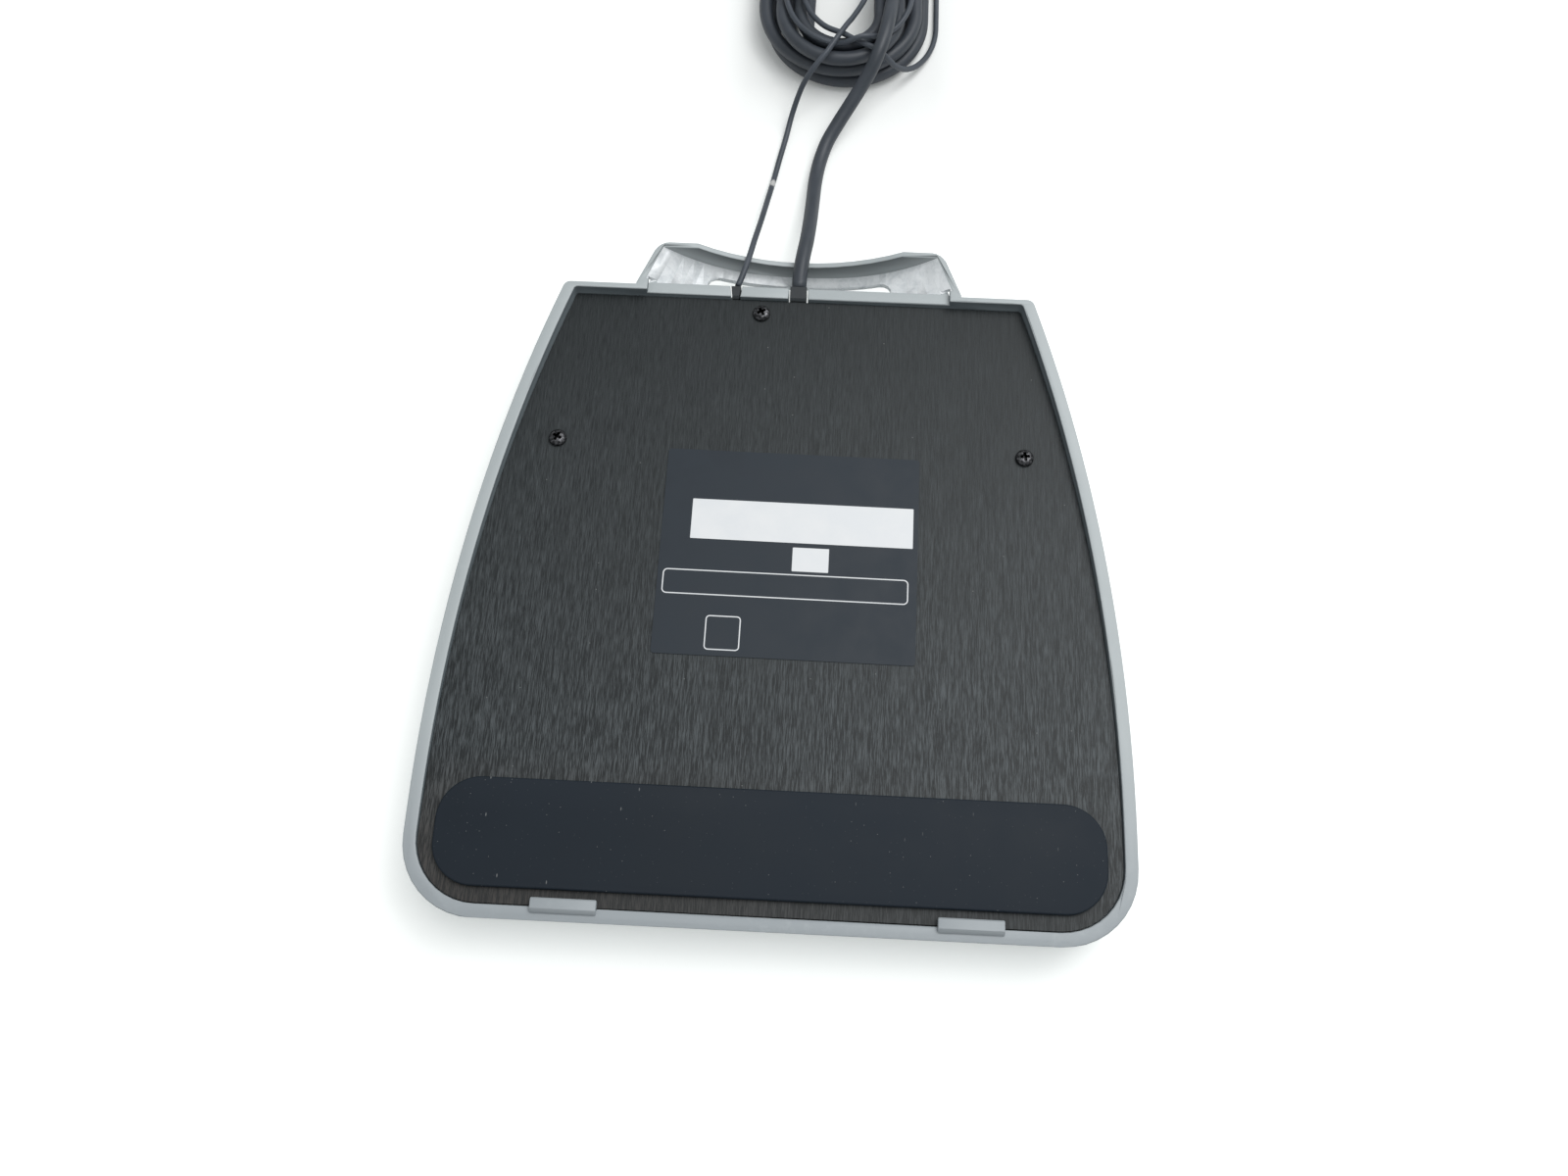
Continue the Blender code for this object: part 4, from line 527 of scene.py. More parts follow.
# places along the cords in millimetres; the loops give a turn, a radius and a height
usbRoute = inMetres([
    (0.1, 78.5, 14.0), (0.1, 82.5, 14.0), (0.6, 88.2, 14.0), (1.5, 95.3, 12.8), (2.1, 103.8, 9.9),
    (2.5, 112.9, 6.3), (2.9, 121.6, 3.6), (3.9, 129.2, 2.6), (5.8, 135.5, 3.5), (8.5, 140.0, 5.7),
    (11.5, 144.3, 8.2), (14.6, 148.4, 11.3), (17.4, 152.2, 14.8), (19.4, 156.3, 17.7), (21.0, 162.0, 18.8),
    (22.1, 168.7, 18.4), (23.0, 176.9, 16.0), (23.5, 186.8, 14.7),
])
tetherRoute = inMetres([
    (-16.3, 78.3, 15.1), (-15.4, 81.3, 14.9), (-14.0, 87.0, 14.7), (-12.8, 94.4, 13.0), (-11.5, 104.2, 8.8),
    (-10.3, 114.5, 4.2), (-9.0, 123.7, 1.4), (-7.7, 131.1, 1.2), (-6.3, 138.4, 1.2), (-5.0, 144.3, 3.1),
    (-3.5, 147.7, 6.7), (-1.8, 150.1, 10.4), (1.1, 152.6, 14.5), (4.6, 156.3, 16.8), (8.1, 162.5, 17.4),
    (10.0, 166.8, 16.4), (11.8, 170.9, 15.1), (15.1, 179.8, 13.1), (16.8, 187.0, 13.0), (18.4, 195.0, 12.4),
])
tetherLoops = inMetres([
    (0.00, 10.8, 11.0), (0.05, 10.9, 10.5), (0.25, 11.4, 10.45), (0.50, 12.1, 10.7), (0.52, 12.2, 12.9),
    (0.542, 12.3, 14.7), (0.60, 12.6, 14.9), (0.65, 13.4, 14.9), (0.70, 14.6, 14.8), (0.75, 16.0, 14.9),
    (0.775, 18.6, 15.0), (0.792, 20.9, 15.2), (0.811, 24.1, 14.8), (0.829, 26.6, 9.8), (0.855, 27.2, 4.8),
    (0.894, 27.6, 2.0), (0.935, 27.9, 1.2), (1.04, 28.1, 1.2), (1.08, 28.3, 2.4), (1.115, 26.9, 7.2),
    (1.15, 24.0, 10.2), (1.19, 20.8, 10.45), (1.25, 18.6, 10.45), (1.50, 17.3, 10.7), (1.52, 17.3, 12.9),
    (1.542, 17.4, 14.7), (1.60, 17.8, 14.9), (1.65, 18.7, 14.9), (1.70, 19.5, 14.9), (1.742, 19.8, 14.9),
    (1.764, 19.9, 16.4), (1.785, 20.0, 17.7), (1.82, 20.1, 15.9), (1.86, 20.0, 14.9), (1.91, 19.7, 14.8),
    (1.958, 19.5, 14.3), (1.98, 19.4, 12.5), (2.00, 19.3, 10.7),
], 1)
tetherEndRoute = inMetres([
    (30.0, 214.0, 10.6), (32.0, 219.5, 10.5), (34.2, 223.6, 9.2), (37.4, 228.4, 5.6), (40.2, 232.8, 2.7),
    (42.4, 238.2, 1.3), (43.6, 246.0, 1.2), (43.6, 254.0, 1.2), (42.4, 261.0, 1.7), (39.0, 266.6, 3.1),
    (34.5, 269.2, 4.4),
])


def smoothLine(points, spacing):
    points = [Vector(point) for point in points]
    lengths = [(b - a).length for a, b in zip(points, points[1:])]
    slopes = []
    for i in range(len(points)):
        before, after = max(i - 1, 0), min(i + 1, len(points) - 1)
        slopes.append((points[after] - points[before]) / sum(lengths[before:after]))
    line = [points[0]]
    for i, length in enumerate(lengths):
        steps = max(1, round(length / spacing))
        for k in range(1, steps + 1):
            t = k / steps
            line.append(
                points[i] * (1 + 2 * t) * (1 - t) ** 2
                + points[i + 1] * t * t * (3 - 2 * t)
                + slopes[i] * length * t * (1 - t) ** 2
                - slopes[i + 1] * length * t * t * (1 - t)
            )
    return line


def ease(share):
    share = min(max(share, 0), 1)
    return (1 - cos(pi * share)) / 2


def lineLength(points):
    return sum((b - a).length for a, b in zip(points, points[1:]))


def onOval(turn, radius, height, pull=0.0):
    share = coil["straightShare"]
    half, part = divmod(turn % 1 + share, 0.5)
    side = 1 if half % 2 == 0 else -1
    along = min(part / (2 * share), 1) - 0.5
    angle = pi * max(part - 2 * share, 0) / (0.5 - 2 * share)
    x = coil["x"] + side * radius * cos(angle)
    y = fromFront(coil["fromFront"]) + side * (coil["straight"] * along + radius * sin(angle))
    return Vector((x, y - pull * (0.5 - side * along), height))


def coilPoint(turn):
    start, lead, pitch = coil["startTurns"], coil["leadTurns"], coil["pitch"]
    leadEnd = coil["outer"] + pitch * (start - lead)
    turnedIn = start + coil["layerTurns"]
    turnedOut = turnedIn + coil["crossTurns"]
    if turn < lead:
        radius = coil["leadRadius"] + (leadEnd - coil["leadRadius"]) * ease(turn / lead)
    elif turn < turnedIn:
        radius = coil["outer"] - pitch * (turn - start)
    elif turn < turnedOut:
        radius = coil["inner"] - coil["dip"] * sin(pi * (turn - turnedIn) / coil["crossTurns"]) ** 2
    else:
        radius = coil["inner"] + pitch * (turn - turnedOut)
    landing = ease((turn - coil["dropTurns"]) / (start + lead / 2 - coil["dropTurns"]))
    crossing = ease((turn - turnedIn) / coil["crossTurns"])
    height = coil["leadOnPile"] - (coil["leadOnPile"] - coil["layerTwo"]) * landing
    height -= (coil["layerTwo"] - coil["layerOne"]) * crossing
    number = min(max(floor(turn - start), 0), len(coil["stack"]) - 1)
    placeIn, column, climbs = coil["stack"][number]
    fromNear = abs(turn - number - coil["nearTurns"])
    height += climbs * coil["layerStep"] * (1 - ease((fromNear - coil["stackTurns"]) / coil["climbTurns"]))
    return onOval(turn, radius, height, placeIn * pitch - column * coil["columnStep"])


def withEnds(line, reach):
    first = (line[1] - line[0]).normalized()
    last = (line[-1] - line[-2]).normalized()
    return [line[0] - first * reach] + line + [line[-1] + last * reach]


# a round tube with closed ends: V runs along it and U round it
def tubePiece(name, line, radius, sides, material):
    bm = bmesh.new()
    uvs = bm.loops.layers.uv.new("UVMap")
    side = None
    rings, along, runs = [], 0.0, []
    for i, point in enumerate(line):
        ahead = (line[min(i + 1, len(line) - 1)] - line[max(i - 1, 0)]).normalized()
        if side is None:
            side = ahead.orthogonal().normalized()
        side = (side - ahead * side.dot(ahead)).normalized()
        other = ahead.cross(side)
        angles = [2 * pi * k / sides for k in range(sides)]
        spokes = [side * cos(a) + other * sin(a) for a in angles]
        rings.append([bm.verts.new(point + radius * spoke) for spoke in spokes])
        along += (point - line[i - 1]).length if i else 0.0
        runs.append(along)
    for i in range(len(rings) - 1):
        for k in range(sides):
            n = (k + 1) % sides
            face = bm.faces.new((rings[i][k], rings[i][n], rings[i + 1][n], rings[i + 1][k]))
            face.smooth = True
            places = ((k, i), (k + 1, i), (k + 1, i + 1), (k, i + 1))
            for corner, (u, v) in zip(face.loops, places):
                corner[uvs].uv = (u / sides * 2 * pi * radius, runs[v])
    capped(bm, rings)
    return newPiece(name, bm, [material])


def makeCords():
    turns = coil["startTurns"] + 2 * coil["layerTurns"] + coil["crossTurns"]
    count = round(turns * coil["stepsPerTurn"])
    usb, gap = cordSizes["usb"], cordSizes["gap"]
    turned = withEnds([coilPoint(turns * i / count) for i in range(count + 1)], usb)
    lead = smoothLine(usbRoute + [turned[0]], cordSizes["usbStep"])
    atPlug = [Vector(plug["end"]) + Vector((reach, 0, 0)) for reach in (gap + usb, gap)]
    tail = smoothLine([turned[-1], *atPlug], cordSizes["usbStep"])
    line = lead[:-1] + turned + tail[1:]
    usbPiece = tubePiece("usbCord", line, usb / 2, cordSizes["usbSides"], looks["usbJacket"])
    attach(usbPiece, "pad")
    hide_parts("usb_cable", "usb_coil", "usb_tail")
    plugParts = makePlug() + [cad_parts["usb_plug_tongue"]]
    print("USB cord", round(lineLength(line), 4), "m")

    thin = cordSizes["tether"]
    loops = [onOval(*place) for place in smoothLine(tetherLoops, 1 / coil["stepsPerTurn"])]
    loops = withEnds(loops, thin)
    start = smoothLine(tetherRoute + [loops[0]], cordSizes["tetherStep"])
    atPen = [Vector(pen["end"]) + Vector((reach, 0, 0)) for reach in (gap + thin, gap)]
    end = smoothLine([loops[-1], *tetherEndRoute, *atPen], cordSizes["tetherStep"])
    line = start[:-1] + loops + end[1:]
    tether = tubePiece("tetherCord", line, thin / 2, cordSizes["tetherSides"], looks["tetherJacket"])
    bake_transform(tether)
    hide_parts("tether", "tether_coil", "tether_end")
    print("tether", round(lineLength(line), 4), "m")


# housing: the imported shell with its long edges eased, glossy inside the loop, and painted shade on the
# walls round the plate
housing = {
    "weld": 0.000002, "flat": 0.02, "edge": 0.00028, "sharpest": 50.0, "easedAbove": 0.0142,
    "loopEasedAbove": 0.0105, "ledgeEndFrom": (0.0370, 0.0771), "ledgeEndTo": (0.0790, 0.0170),
    "loopFrom": 0.0777, "loopTo": 0.0872, "loopEdge": 0.0878,
    "loopHalf": 0.0425, "loopBelow": 0.0182, "slotWall": 0.0860,
    "shelf": 0.0131, "hookFrom": (0.0375, -0.0835), "hookTo": 0.0545,
    "facing": 0.9, "upward": 0.3, "sideways": 0.5, "upright": 0.2,
}


# which finish a face of the housing takes: 0 silver paint, 1 loop floor, 2 loop end wall with painted shade,
# 3 walls round the plate in painted shade
def housingFinish(middle, way):
    x, y, z = middle
    if housing["loopFrom"] < y < housing["loopEdge"] and abs(x) < housing["loopHalf"]:
        if z > housing["loopBelow"]:
            return 0
        if way.y < -housing["facing"]:
            return 1 if y < housing["slotWall"] else 2
        side = abs(way.x) > housing["sideways"] and way.x * x < 0
        return 1 if y < housing["loopTo"] and (way.z > housing["upward"] or side) else 0
    atHook = housing["hookFrom"][0] < abs(x) < housing["hookTo"] and y < housing["hookFrom"][1]
    # painted shade: walls round the plate that face inward take the dark finish
    inward = way.x * x + way.y * y < 0 and y < housing["loopFrom"] and z > housing["shelf"]
    return 3 if inward and abs(way.z) < housing["upright"] and not atHook else 0


def makeHousing():
    bm = bmesh.new()
    bm.from_mesh(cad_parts["housing"].data)
    bmesh.ops.remove_doubles(bm, verts=bm.verts, dist=housing["weld"])
    flat, sharp = radians(housing["flat"]), radians(housing["sharpest"])
    bmesh.ops.dissolve_limit(bm, angle_limit=flat, verts=bm.verts, edges=bm.edges)
    eased = []
    for edge in bm.edges:
        ends = [corner.co for corner in edge.verts]
        x, y, z = min(abs(end.x) for end in ends), min(end.y for end in ends), min(end.z for end in ends)
        high = z > housing["easedAbove"]
        high = high or y > housing["loopFrom"] and z > housing["loopEasedAbove"]
        outside = x > housing["ledgeEndFrom"][0] and z < housing["ledgeEndTo"][1]
        atLedgeEnd = outside and housing["ledgeEndFrom"][1] < y < housing["ledgeEndTo"][0]
        if high and not atLedgeEnd and edge.is_convex and edge.calc_face_angle() > sharp:
            eased.append(edge)
    bmesh.ops.bevel(
        bm, geom=eased, offset=housing["edge"], offset_type="OFFSET", segments=3, profile=0.5,
        affect="EDGES", clamp_overlap=False,
    )
    for face in bm.faces:
        face.material_index = housingFinish(face.calc_center_median(), face.normal)
    finishes = [looks[name] for name in ("housing", "loop", "loopWall", "shadedInnerWall")]
    piece = newPiece("housingShell", bm, finishes, 28, False)
    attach(piece, "pad")
    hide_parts("housing")


makeHousing()
print("housing dressed")


# rubber foot
def makeFoot():
    bm = bmesh.new()
    middle = fromFront(footLook["fromFront"] + footLook["depth"] / 2)
    edge, rings = footLook["edge"], []
    profile = [(0.0, 0.0), (0.0, footLook["thickness"] - edge)]
    for i in range(1, footLook["edgeSteps"] + 1):
        angle = pi / 2 * i / footLook["edgeSteps"]
        profile.append((edge * (1 - cos(angle)), footLook["thickness"] - edge * (1 - sin(angle))))
    for inset, height in profile:
        sides = [footLook[side] - 2 * inset for side in ("width", "depth")]
        line = roundedOutline(*sides, footLook["corner"] - inset, 0.0, middle, footLook["cornerSteps"])
        rings += ringsOf(bm, line, plateTop + height)
    skinned(bm, rings)
    capped(bm, rings)
    piece = newPiece("rubberFoot", bm, [looks["rubber"]], 35)
    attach(piece, "pad")
    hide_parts("rubber_foot")


makeFoot()
print("foot made")


# label: dark film with blank panels, each told by width, depth, corner, X, Y and whether it is only outlined
label = {
    "width": 0.0638, "depth": 0.0545, "x": 0.0009, "fromFront": 0.0912, "turn": radians(-0.3),
    "corner": 0.0008, "thickness": 0.0002, "printLow": 0.00012, "printHigh": 0.00003, "line": 0.00028,
    "panels": [
        (0.0553, 0.0107, 0.0002, 0.0030, 0.0083, False),
        (0.0090, 0.0063, 0.0002, 0.0055, -0.0014, False),
        (0.0604, 0.0065, 0.0012, -0.0004, -0.0086, True),
        (0.0086, 0.0088, 0.0010, -0.0149, -0.0214, True),
    ],
}


def makeLabel():
    top = plateTop + label["thickness"]
    bm = bmesh.new()
    slab(bm, roundedOutline(label["width"], label["depth"], label["corner"], 0.0, 0.0, 6), plateTop, top)
    base, high = top - label["printLow"], top + label["printHigh"]
    for width, depth, radius, x, y, outlined in label["panels"]:
        outer = roundedOutline(width, depth, radius, x, y, 6)
        if outlined:
            inset = label["line"]
            inner = roundedOutline(width - 2 * inset, depth - 2 * inset, radius - inset, x, y, 6)
            ringSlab(bm, outer, inner, base, high, 1)
        else:
            slab(bm, outer, base, high, 1)
    place = Matrix.Translation((label["x"], fromFront(label["fromFront"]), 0))
    bmesh.ops.transform(bm, matrix=place @ Matrix.Rotation(label["turn"], 4, "Z"), verts=bm.verts)
    piece = newPiece("blankLabel", bm, [looks["label"], looks["print"]])
    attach(piece, "pad")
    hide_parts("id_label")


makeLabel()
print("label made")


# plate screws: one turned head with a cross recess, set at three places by geometry nodes
screw = {
    "head": 0.0046, "height": 0.0015, "crossLength": 0.0031, "crossWidth": 0.00090, "crossDepth": 0.0012,
    "crossRise": 1.4, "places": [(-0.0095, 0.1591), (-0.0595, 0.1201), (0.0595, 0.1201)],
    "turns": [0.5, 1.15, 0.1], "shank": 0.0026, "domeFoot": 0.3, "domeSteps": 8, "domeBend": 0.8,
    "floorLength": 0.45, "floorWidth": 0.6, "recessBelow": 0.00006, "recessWithin": 0.68,
    "shankLength": 0.004,
}


def lathe(bm, profile, steps):
    rings = []
    for radius, height in profile:
        if radius == 0:
            rings.append([bm.verts.new((0, 0, height))])
            continue
        angles = [2 * pi * i / steps for i in range(steps)]
        rings.append([bm.verts.new((radius * cos(a), radius * sin(a), height)) for a in angles])
    for lower, upper in zip(rings, rings[1:]):
        for i in range(steps):
            k = (i + 1) % steps
            ends = ((lower, i), (lower, k), (upper, k), (upper, i))
            corners = [ring[n % len(ring)] for ring, n in ends]
            corners = [c for n, c in enumerate(corners) if c not in corners[:n]]
            if len(corners) > 2:
                bm.faces.new(corners)


def onDome(share):
    return screw["height"] * (screw["domeFoot"] + (1 - screw["domeFoot"]) * share)


def screwMesh():
    half, height, steps = screw["head"] / 2, screw["height"], screw["domeSteps"]
    shank, shankEnd = screw["shank"] / 2, -screw["shankLength"]
    bm = bmesh.new()
    profile = [(0, shankEnd), (shank, shankEnd), (shank, 0)]
    profile += [(half * 0.97, 0.0), (half, height * 0.08), (half, onDome(0))]
    for i in range(1, steps + 1):
        angle = pi / 2 * i / steps
        out = half * cos(angle) ** screw["domeBend"] if i < steps else 0
        profile.append((out, onDome(sin(angle))))
    lathe(bm, profile, 48)
    head = newPiece("screwHead", bm, [looks["screw"]])
    cross = bmesh.new()
    depth = height - screw["crossDepth"]
    for turned in (0, pi / 2):
        length, width = screw["crossLength"] / 2, screw["crossWidth"] / 2
        lower = cornersOf(length * screw["floorLength"], width * screw["floorWidth"])
        upper = cornersOf(length, width)
        turn = Matrix.Rotation(turned, 3, "Z")
        a = [cross.verts.new(turn @ Vector((x, y, depth))) for x, y in lower]
        b = [cross.verts.new(turn @ Vector((x, y, height * screw["crossRise"]))) for x, y in upper]
        capped(cross, [a, b])
        skinned(cross, [a, b])
    cutInto(head, newPiece("screwRecess", cross, [looks["screw"]]), True)
    smoothed(head, 32)
    # faces inside the cross recess are marked for the painted shade
    recess = head.data.attributes.new("recess", "FLOAT", "FACE")
    for side, item in zip(head.data.polygons, recess.data):
        out = hypot(side.center.x, side.center.y) / half
        dome = onDome(sqrt(max(0.0, 1 - out ** 2.5)))
        low = side.center.z < dome - screw["recessBelow"]
        inside = side.center.z > depth * 0.9 and out < screw["recessWithin"] and low
        item.value = 1.0 if inside else 0.0
    return head


# a tree that sets a copy of the source on every point, turned as the point says
def placedCopies(name, source, material, seed):
    tree = bpy.data.node_groups.new(name, "GeometryNodeTree")
    for title, kind in (("Geometry", "Geometry"), ("Wobble", "Float")):
        tree.interface.new_socket(name=title, in_out="INPUT", socket_type="NodeSocket" + kind)
    tree.interface.new_socket(name="Geometry", in_out="OUTPUT", socket_type="NodeSocketGeometry")
    given = tree.nodes.new("NodeGroupInput")
    result = tree.nodes.new("NodeGroupOutput")
    piece = addNode(tree, "GeometryNodeObjectInfo", {"Object": source})
    attribute = addNode(tree, "GeometryNodeInputNamedAttribute", {"Name": "turn"}, data_type="FLOAT_VECTOR")
    jitter = addNode(tree, "FunctionNodeRandomValue", {"Seed": seed, 2: -1.0, 3: 1.0}, data_type="FLOAT")
    amount = times(jitter.outputs[1], given.outputs["Wobble"])
    extra = addNode(tree, "ShaderNodeCombineXYZ", {"Z": amount})
    turns = {0: attribute.outputs[0], 1: extra.outputs[0]}
    turned = addNode(tree, "ShaderNodeVectorMath", turns, operation="ADD")
    copies = addNode(tree, "GeometryNodeInstanceOnPoints", {
        "Points": given.outputs["Geometry"],
        "Instance": piece.outputs["Geometry"],
        "Rotation": turned.outputs[0],
    })
    real = addNode(tree, "GeometryNodeRealizeInstances", {"Geometry": copies.outputs["Instances"]})
    inputs = {"Geometry": real.outputs["Geometry"], "Material": material}
    painted = addNode(tree, "GeometryNodeSetMaterial", inputs)
    feed(result.inputs["Geometry"], painted.outputs["Geometry"])
    return tree


def repeated(name, source, places, turns, material, seed, wobble=0.0):
    data = bpy.data.meshes.new(name)
    data.from_pydata([tuple(place) for place in places], [], [])
    attribute = data.attributes.new("turn", "FLOAT_VECTOR", "POINT")
    for item, value in zip(attribute.data, turns):
        item.vector = value
    piece = bpy.data.objects.new(name, data)
    scene.collection.objects.link(piece)
    tree = placedCopies(name + "Tree", source, material, seed)
    modifier = piece.modifiers.new("copies", "NODES")
    modifier.node_group = tree
    sockets = {s.name: s.identifier for s in tree.interface.items_tree if s.in_out == "INPUT"}
    modifier[sockets["Wobble"]] = wobble
    applied(piece)
    bpy.data.objects.remove(source)
    return piece


# a turned piece laid on its side
alongX = (0.0, pi / 2, 0.0)


def makePlateScrews():
    places = [(x, fromFront(y), plateTop) for x, y in screw["places"]]
    turns = [(0.0, 0.0, turn) for turn in screw["turns"]]
    piece = repeated("plateScrews", screwMesh(), places, turns, looks["screw"], 4, 0.05)
    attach(piece, "pad")
    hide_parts("screw_back", "screw_left", "screw_right")


makePlateScrews()
print("plate screws set")


# USB plug: moulded grip with ribs at its neck, bare of any symbol, and a folded steel shell with its windows
plug = {
    "end": (-0.0215, 0.2555, 0.0042), "bodyLength": 0.024, "bodyWidth": 0.0125,
    "bodyHeight": 0.0078, "neck": 0.0056, "neckLength": 0.007, "ribs": 5, "ribStep": 0.00115,
    "ribRadius": 0.0030, "ribWidth": 0.00055, "panelInset": 0.0021, "panelDepth": 0.00025, "gap": 0.0003,
    "shellWidth": 0.012, "shellHeight": 0.0045, "shellLength": 0.0185, "shellWall": 0.0004,
    "window": 0.0022, "windowFromTip": 0.0062, "windowApart": 0.0056, "lip": 0.0004, "ribsFrom": 0.0009,
    "panelCorner": 0.0012, "panelOverrun": 0.001,
    "backEdge": [(0.0005, 0.0), (0.00015, 0.00015), (0.0, 0.00045)],
}


def ringAcross(bm, x, width, height, radius, steps=6):
    line = roundedOutline(width, height, radius, *plug["end"][1:], steps)
    return [bm.verts.new((x, y, z)) for y, z in line]


def makePlug():
    bm = bmesh.new()
    (start, y, z), width, height = plug["end"], plug["bodyWidth"], plug["bodyHeight"]
    shoulder, back = start - plug["neckLength"], start - plug["bodyLength"]
    neck, corner = plug["neck"], height / 4
    neckCorner = neck * 0.49
    rings = [ringAcross(bm, start, neck * 0.9, neck * 0.9, neck * 0.44)]
    rings.append(ringAcross(bm, start - plug["lip"], neck, neck, neckCorner))
    rings.append(ringAcross(bm, shoulder, neck, neck, neckCorner))
    for i in range(1, 7):
        angle = pi / 2 * i / 6
        share = sin(angle)
        x = shoulder - 2 * corner * (1 - cos(angle))
        wide, tall = [neck + (full - neck) * share for full in (width, height)]
        rings.append(ringAcross(bm, x, wide, tall, neckCorner + (corner - neckCorner) * share))
    for away, inset in plug["backEdge"]:
        rings.append(ringAcross(bm, back + away, width - 2 * inset, height - 2 * inset, corner - inset))
    skinned(bm, rings)
    capped(bm, rings)
    grip = newPiece("plugGrip", bm, [looks["plastic"]], 40)
    panel = bmesh.new()
    top = z + height / 2
    long = plug["bodyLength"] - plug["neckLength"] - 2 * corner - plug["panelInset"]
    middle = back + plug["panelInset"] / 2 + long / 2
    wide = width - 2 * plug["panelInset"]
    line = roundedOutline(long, wide, plug["panelCorner"], middle, y, 5)
    slab(panel, line, top - plug["panelDepth"], top + plug["panelOverrun"])
    cutInto(grip, newPiece("plugPanel", panel, []))
    smoothed(grip, 40)

    rib = bmesh.new()
    radius, half = plug["ribRadius"], plug["ribWidth"] / 2
    section = [(neck * 0.46, -half), (radius, -half), (radius, half), (neck * 0.46, half)]
    lathe(rib, [(0, -half * 0.9), *section, (0, half * 0.9)], 28)
    ribSource = newPiece("ribSource", rib, [looks["plastic"]], 40)
    first = start - plug["ribsFrom"]
    places = [(first - plug["ribStep"] * i, y, z) for i in range(plug["ribs"])]
    ribs = repeated("plugRibs", ribSource, places, [alongX] * plug["ribs"], looks["plastic"], 2)

    bm = bmesh.new()
    root, wall, loops = back - plug["gap"], plug["shellWall"], []
    tip = root - plug["shellLength"]
    for x, inset in ((root, 0.0), (tip, 0.0), (tip, wall), (root, wall)):
        sides = [plug[side] - 2 * inset for side in ("shellWidth", "shellHeight")]
        loops.append(ringAcross(bm, x, *sides, 2 * wall - inset, 4))
    skinned(bm, loops + loops[:1])
    shell = newPiece("plugShell", bm, [looks["steel"]], 30)
    for across in (-0.5, 0.5):
        window = bmesh.new()
        half, place = plug["window"] / 2, (tip + plug["windowFromTip"], y + across * plug["windowApart"])
        slab(window, cornersOf(half, half, *place), z - plug["shellHeight"], z + plug["shellHeight"])
        cutInto(shell, newPiece("shellWindow", window, []))
    smoothed(shell, 30)

    for piece in (grip, ribs):
        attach(piece, "pad")
    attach(shell, "pad")
    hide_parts("usb_plug_body")
    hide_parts("usb_plug_shell")
    return [grip, ribs, shell]


# pen on the thin cord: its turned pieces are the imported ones, with soft rings where it is held
pen = {
    "end": (0.0280, 0.2695, 0.0045), "waist": 0.0039, "gripFrom": 0.0912, "rings": 7, "ringStep": 0.0021,
    "ringRise": 0.00028, "ringWidth": 0.0009, "ringRoot": 0.0004,
}


def makePenRings():
    bm = bmesh.new()
    half, low = pen["ringWidth"] / 2, pen["waist"] - pen["ringRoot"]
    section = [(low, -half)]
    for i in range(7):
        angle = pi * i / 6
        section.append((pen["waist"] + pen["ringRise"] * sin(angle), -half * cos(angle)))
    section.append((low, half))
    lathe(bm, [(0, -half * 0.9), *section, (0, half * 0.9)], 32)
    source = newPiece("ringSource", bm, [looks["plastic"]], 50)
    x, y, z = pen["end"]
    places = [(x - pen["gripFrom"] + pen["ringStep"] * i, y, z) for i in range(pen["rings"])]
    rings = repeated("gripRings", source, places, [alongX] * pen["rings"], looks["plastic"], 3)
    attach(rings, "stylus")


makePenRings()
makeCords()
print("cords, plug and pen made")


# tie: a woven hook-and-loop band drawn snug round the coil's left side, its end lapped over the top
tie = {
    "section": inMetres([
        (-14.0, 0.8), (-16.0, 2.2), (-17.3, 5.6), (-17.2, 8.3), (-15.2, 10.0), (-11.2, 11.0), (-8.2, 12.1),
        (-3.0, 12.1), (-0.4, 10.8), (1.1, 8.2), (1.4, 5.0), (1.2, 2.2), (-0.4, 0.8), (-7.0, 0.8),
    ]),
    "thickness": 0.0005, "near": 0.2092, "band": 0.007, "flapFrom": 0.38, "flapTo": 0.60,
    "flapLift": 0.00055, "flapInset": 0.0002, "step": 0.0004,
}


# an open or closed band that stands off the section's outline by the lift, between two shares of its length
def strapBand(bm, shareFrom, shareTo, lift, near, far):
    corners = [Vector((x, 0.0, z)) for x, z in tie["section"]]
    line = smoothLine(corners[-2:] + corners + corners[:2], tie["step"])
    reaches = [0.0]
    for first, second in zip(line, line[1:]):
        reaches.append(reaches[-1] + (second - first).length)
    closed = shareTo - shareFrom >= 1
    begin = lineLength(smoothLine(corners[-2:] + corners[:1], tie["step"]))
    whole = reaches[-1] - begin - lineLength(smoothLine(corners[:2], tie["step"]))
    kept = [i for i, reach in enumerate(reaches)
            if begin + shareFrom * whole <= reach < begin + shareTo * whole + (0 if closed else 1e-9)]
    edge = tie["thickness"] * 0.3
    order = [(1, near + edge), (0.7, near), (0.3, near), (0, near + edge),
             (0, far - edge), (0.3, far), (0.7, far), (1, far - edge)]
    loops = [[] for place in order]
    for i in kept:
        ahead = (line[i + 1] - line[i - 1]).normalized()
        out = Vector((-ahead.z, 0.0, ahead.x))
        for loop, (share, y) in zip(loops, order):
            place = line[i] + out * (lift + share * tie["thickness"])
            loop.append(bm.verts.new((place.x, y, place.z)))
    count = len(kept)
    for first, second in zip(loops, loops[1:] + loops[:1]):
        for i in range(count if closed else count - 1):
            k = (i + 1) % count
            bm.faces.new((first[i], first[k], second[k], second[i]))
    if not closed:
        bm.faces.new([loop[0] for loop in loops])
        bm.faces.new([loop[-1] for loop in loops][::-1])


def makeTie():
    bm = bmesh.new()
    near, far = tie["near"], tie["near"] + tie["band"]
    strapBand(bm, 0.0, 1.0, 0.0, near, far)
    near, far = near + tie["flapInset"], far - tie["flapInset"]
    strapBand(bm, tie["flapFrom"], tie["flapTo"], tie["flapLift"], near, far)
    piece = newPiece("cordTie", bm, [looks["strap"]], 40)
    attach(piece, "pad")
    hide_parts("coil_tie")


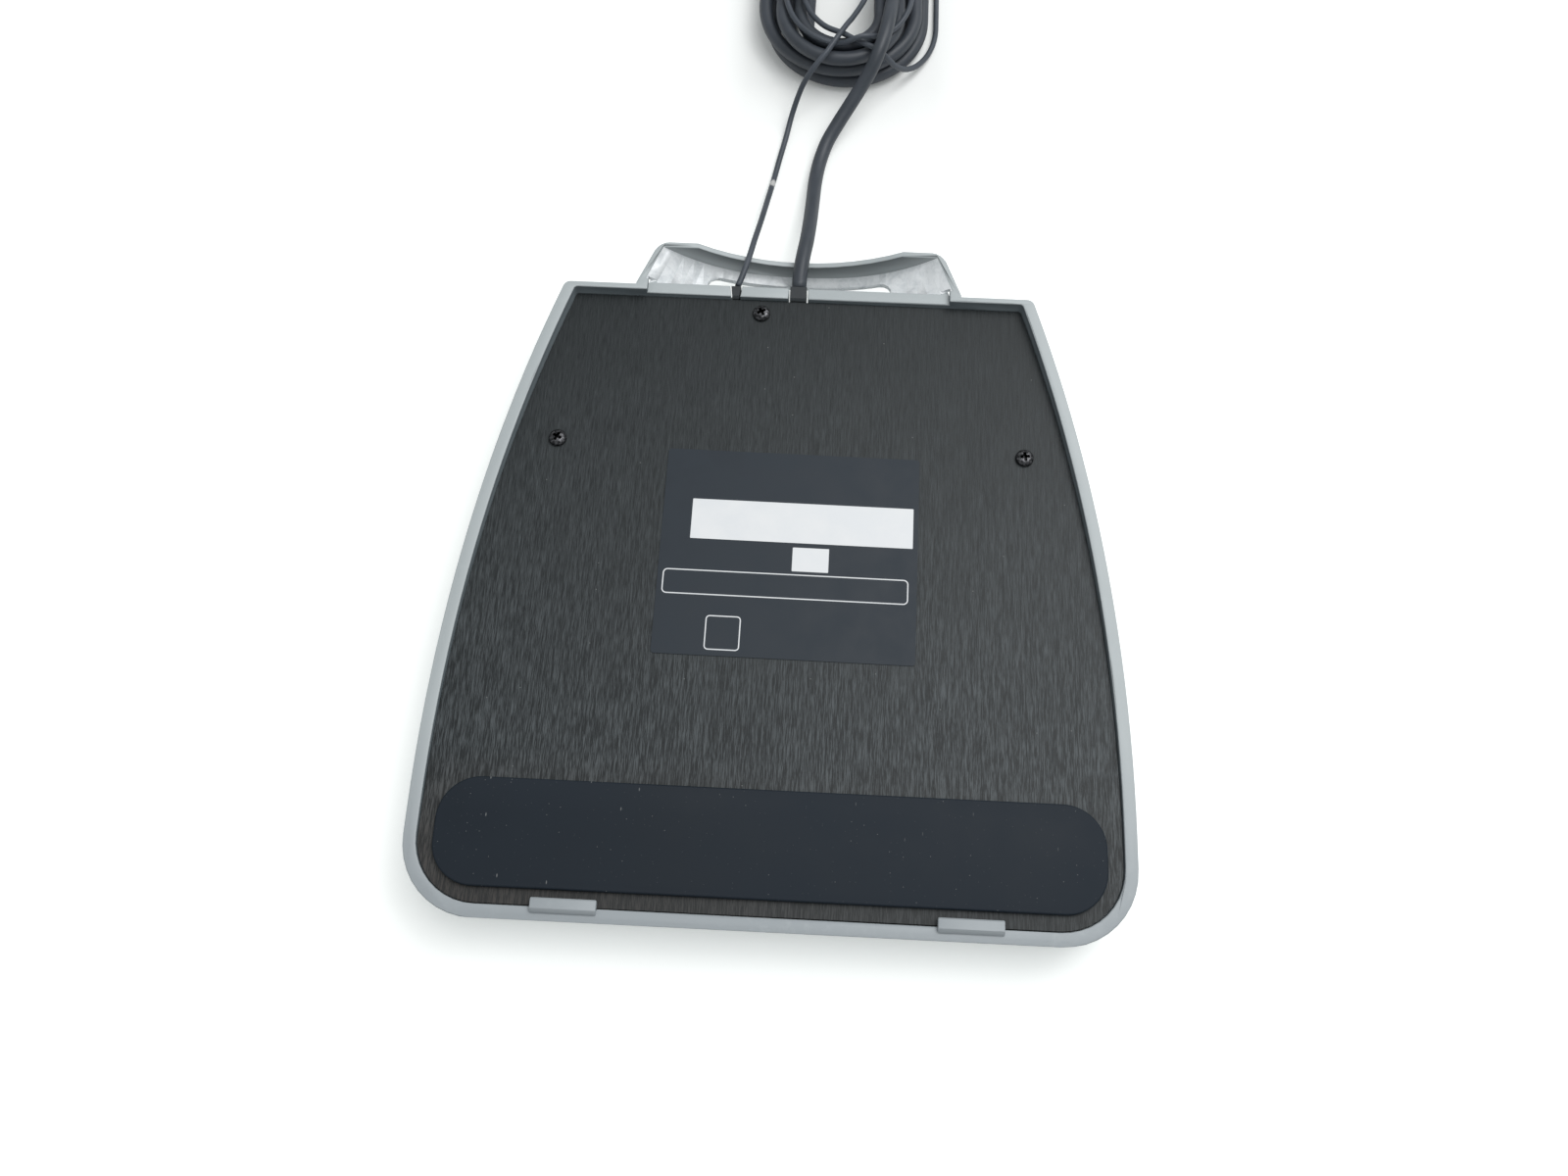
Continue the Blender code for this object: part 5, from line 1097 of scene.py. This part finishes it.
makeTie()
print("tie made")


# table, lamps and surroundings
room = {
    "tableSize": 6.0, "tableColour": (0.91, 0.92, 0.91), "glowColour": (0.965, 1.0, 0.975),
    "nearGlow": 0.35, "coilShadowGlow": 0.10, "coilMiddle": (0.0091, 0.200), "aside": (0.028, 0.052),
    "along": (0.040, 0.095), "farGlow": 1.2, "away": (0.5, 1.3), "skyColour": (0.95, 0.985, 1.0),
    "skyStrength": 0.43, "lampSize": 0.8, "lampPower": 5.6,
    "lamps": {"topLamp": (0.30, 0.15, 1.2), "sideLamp": (0.60, 0.60, 1.1)},
}


def makeRoom():
    bm = bmesh.new()
    half = room["tableSize"] / 2
    bm.faces.new([bm.verts.new((x, y, 0)) for x, y in cornersOf(half, half)])
    material, place = newMaterial("pale table", Roughness=0.6)
    tree = material.node_tree
    shader = tree.nodes["Principled BSDF"]
    darker = tuple(c * 0.985 for c in room["tableColour"])
    colour = mixed(noise(place, 4.0), room["tableColour"], darker)
    feed(shader.inputs["Base Color"], colour)
    rays = addNode(tree, "ShaderNodeLightPath")
    away = addNode(tree, "ShaderNodeVectorMath", {0: place}, operation="LENGTH").outputs["Value"]
    axes = axesOf(place)
    offsets = [sums("SUBTRACT", axes[axis], middle) for axis, middle in zip("XY", room["coilMiddle"])]
    aside, along = [sums("ABSOLUTE", offset) for offset in offsets]
    # painted shadow: the table's glow dims round the coil
    shaded = spread(aside, *room["aside"], room["coilShadowGlow"], room["nearGlow"])
    near = spread(along, *room["along"], shaded, room["nearGlow"])
    level = spread(away, *room["away"], near, room["farGlow"])
    seen = times(rays.outputs["Is Camera Ray"], level)
    glow = addNode(tree, "ShaderNodeEmission", {"Color": room["glowColour"], "Strength": seen})
    both = addNode(tree, "ShaderNodeAddShader", {0: shader.outputs[0], 1: glow.outputs[0]})
    feed(tree.nodes["Material Output"].inputs["Surface"], both.outputs[0])
    table = newPiece("table", bm, [material])

    world = bpy.data.worlds.new("room")
    world.use_nodes = True
    tree = world.node_tree
    background = tree.nodes["Background"]
    feed(background.inputs["Color"], room["skyColour"])
    feed(background.inputs["Strength"], room["skyStrength"])
    white = addNode(tree, "ShaderNodeBackground", {"Color": (1, 1, 1), "Strength": 1.0})
    rays = addNode(tree, "ShaderNodeLightPath")
    both = addNode(tree, "ShaderNodeMixShader", {
        0: rays.outputs["Is Camera Ray"], 1: background.outputs[0], 2: white.outputs[0],
    })
    feed(tree.nodes["World Output"].inputs["Surface"], both.outputs[0])
    scene.world = world

    for name, place in room["lamps"].items():
        data = bpy.data.lights.new(name, "AREA")
        data.size = room["lampSize"]
        data.energy = room["lampPower"]
        thing = bpy.data.objects.new(name, data)
        turn = Vector(place).to_track_quat("Z", "Y").to_matrix().to_4x4()
        thing.matrix_world = Matrix.Translation(place) @ turn
        scene.collection.objects.link(thing)


makeRoom()
scene.view_settings.view_transform = "Standard"
print("table, lamps and surroundings made")
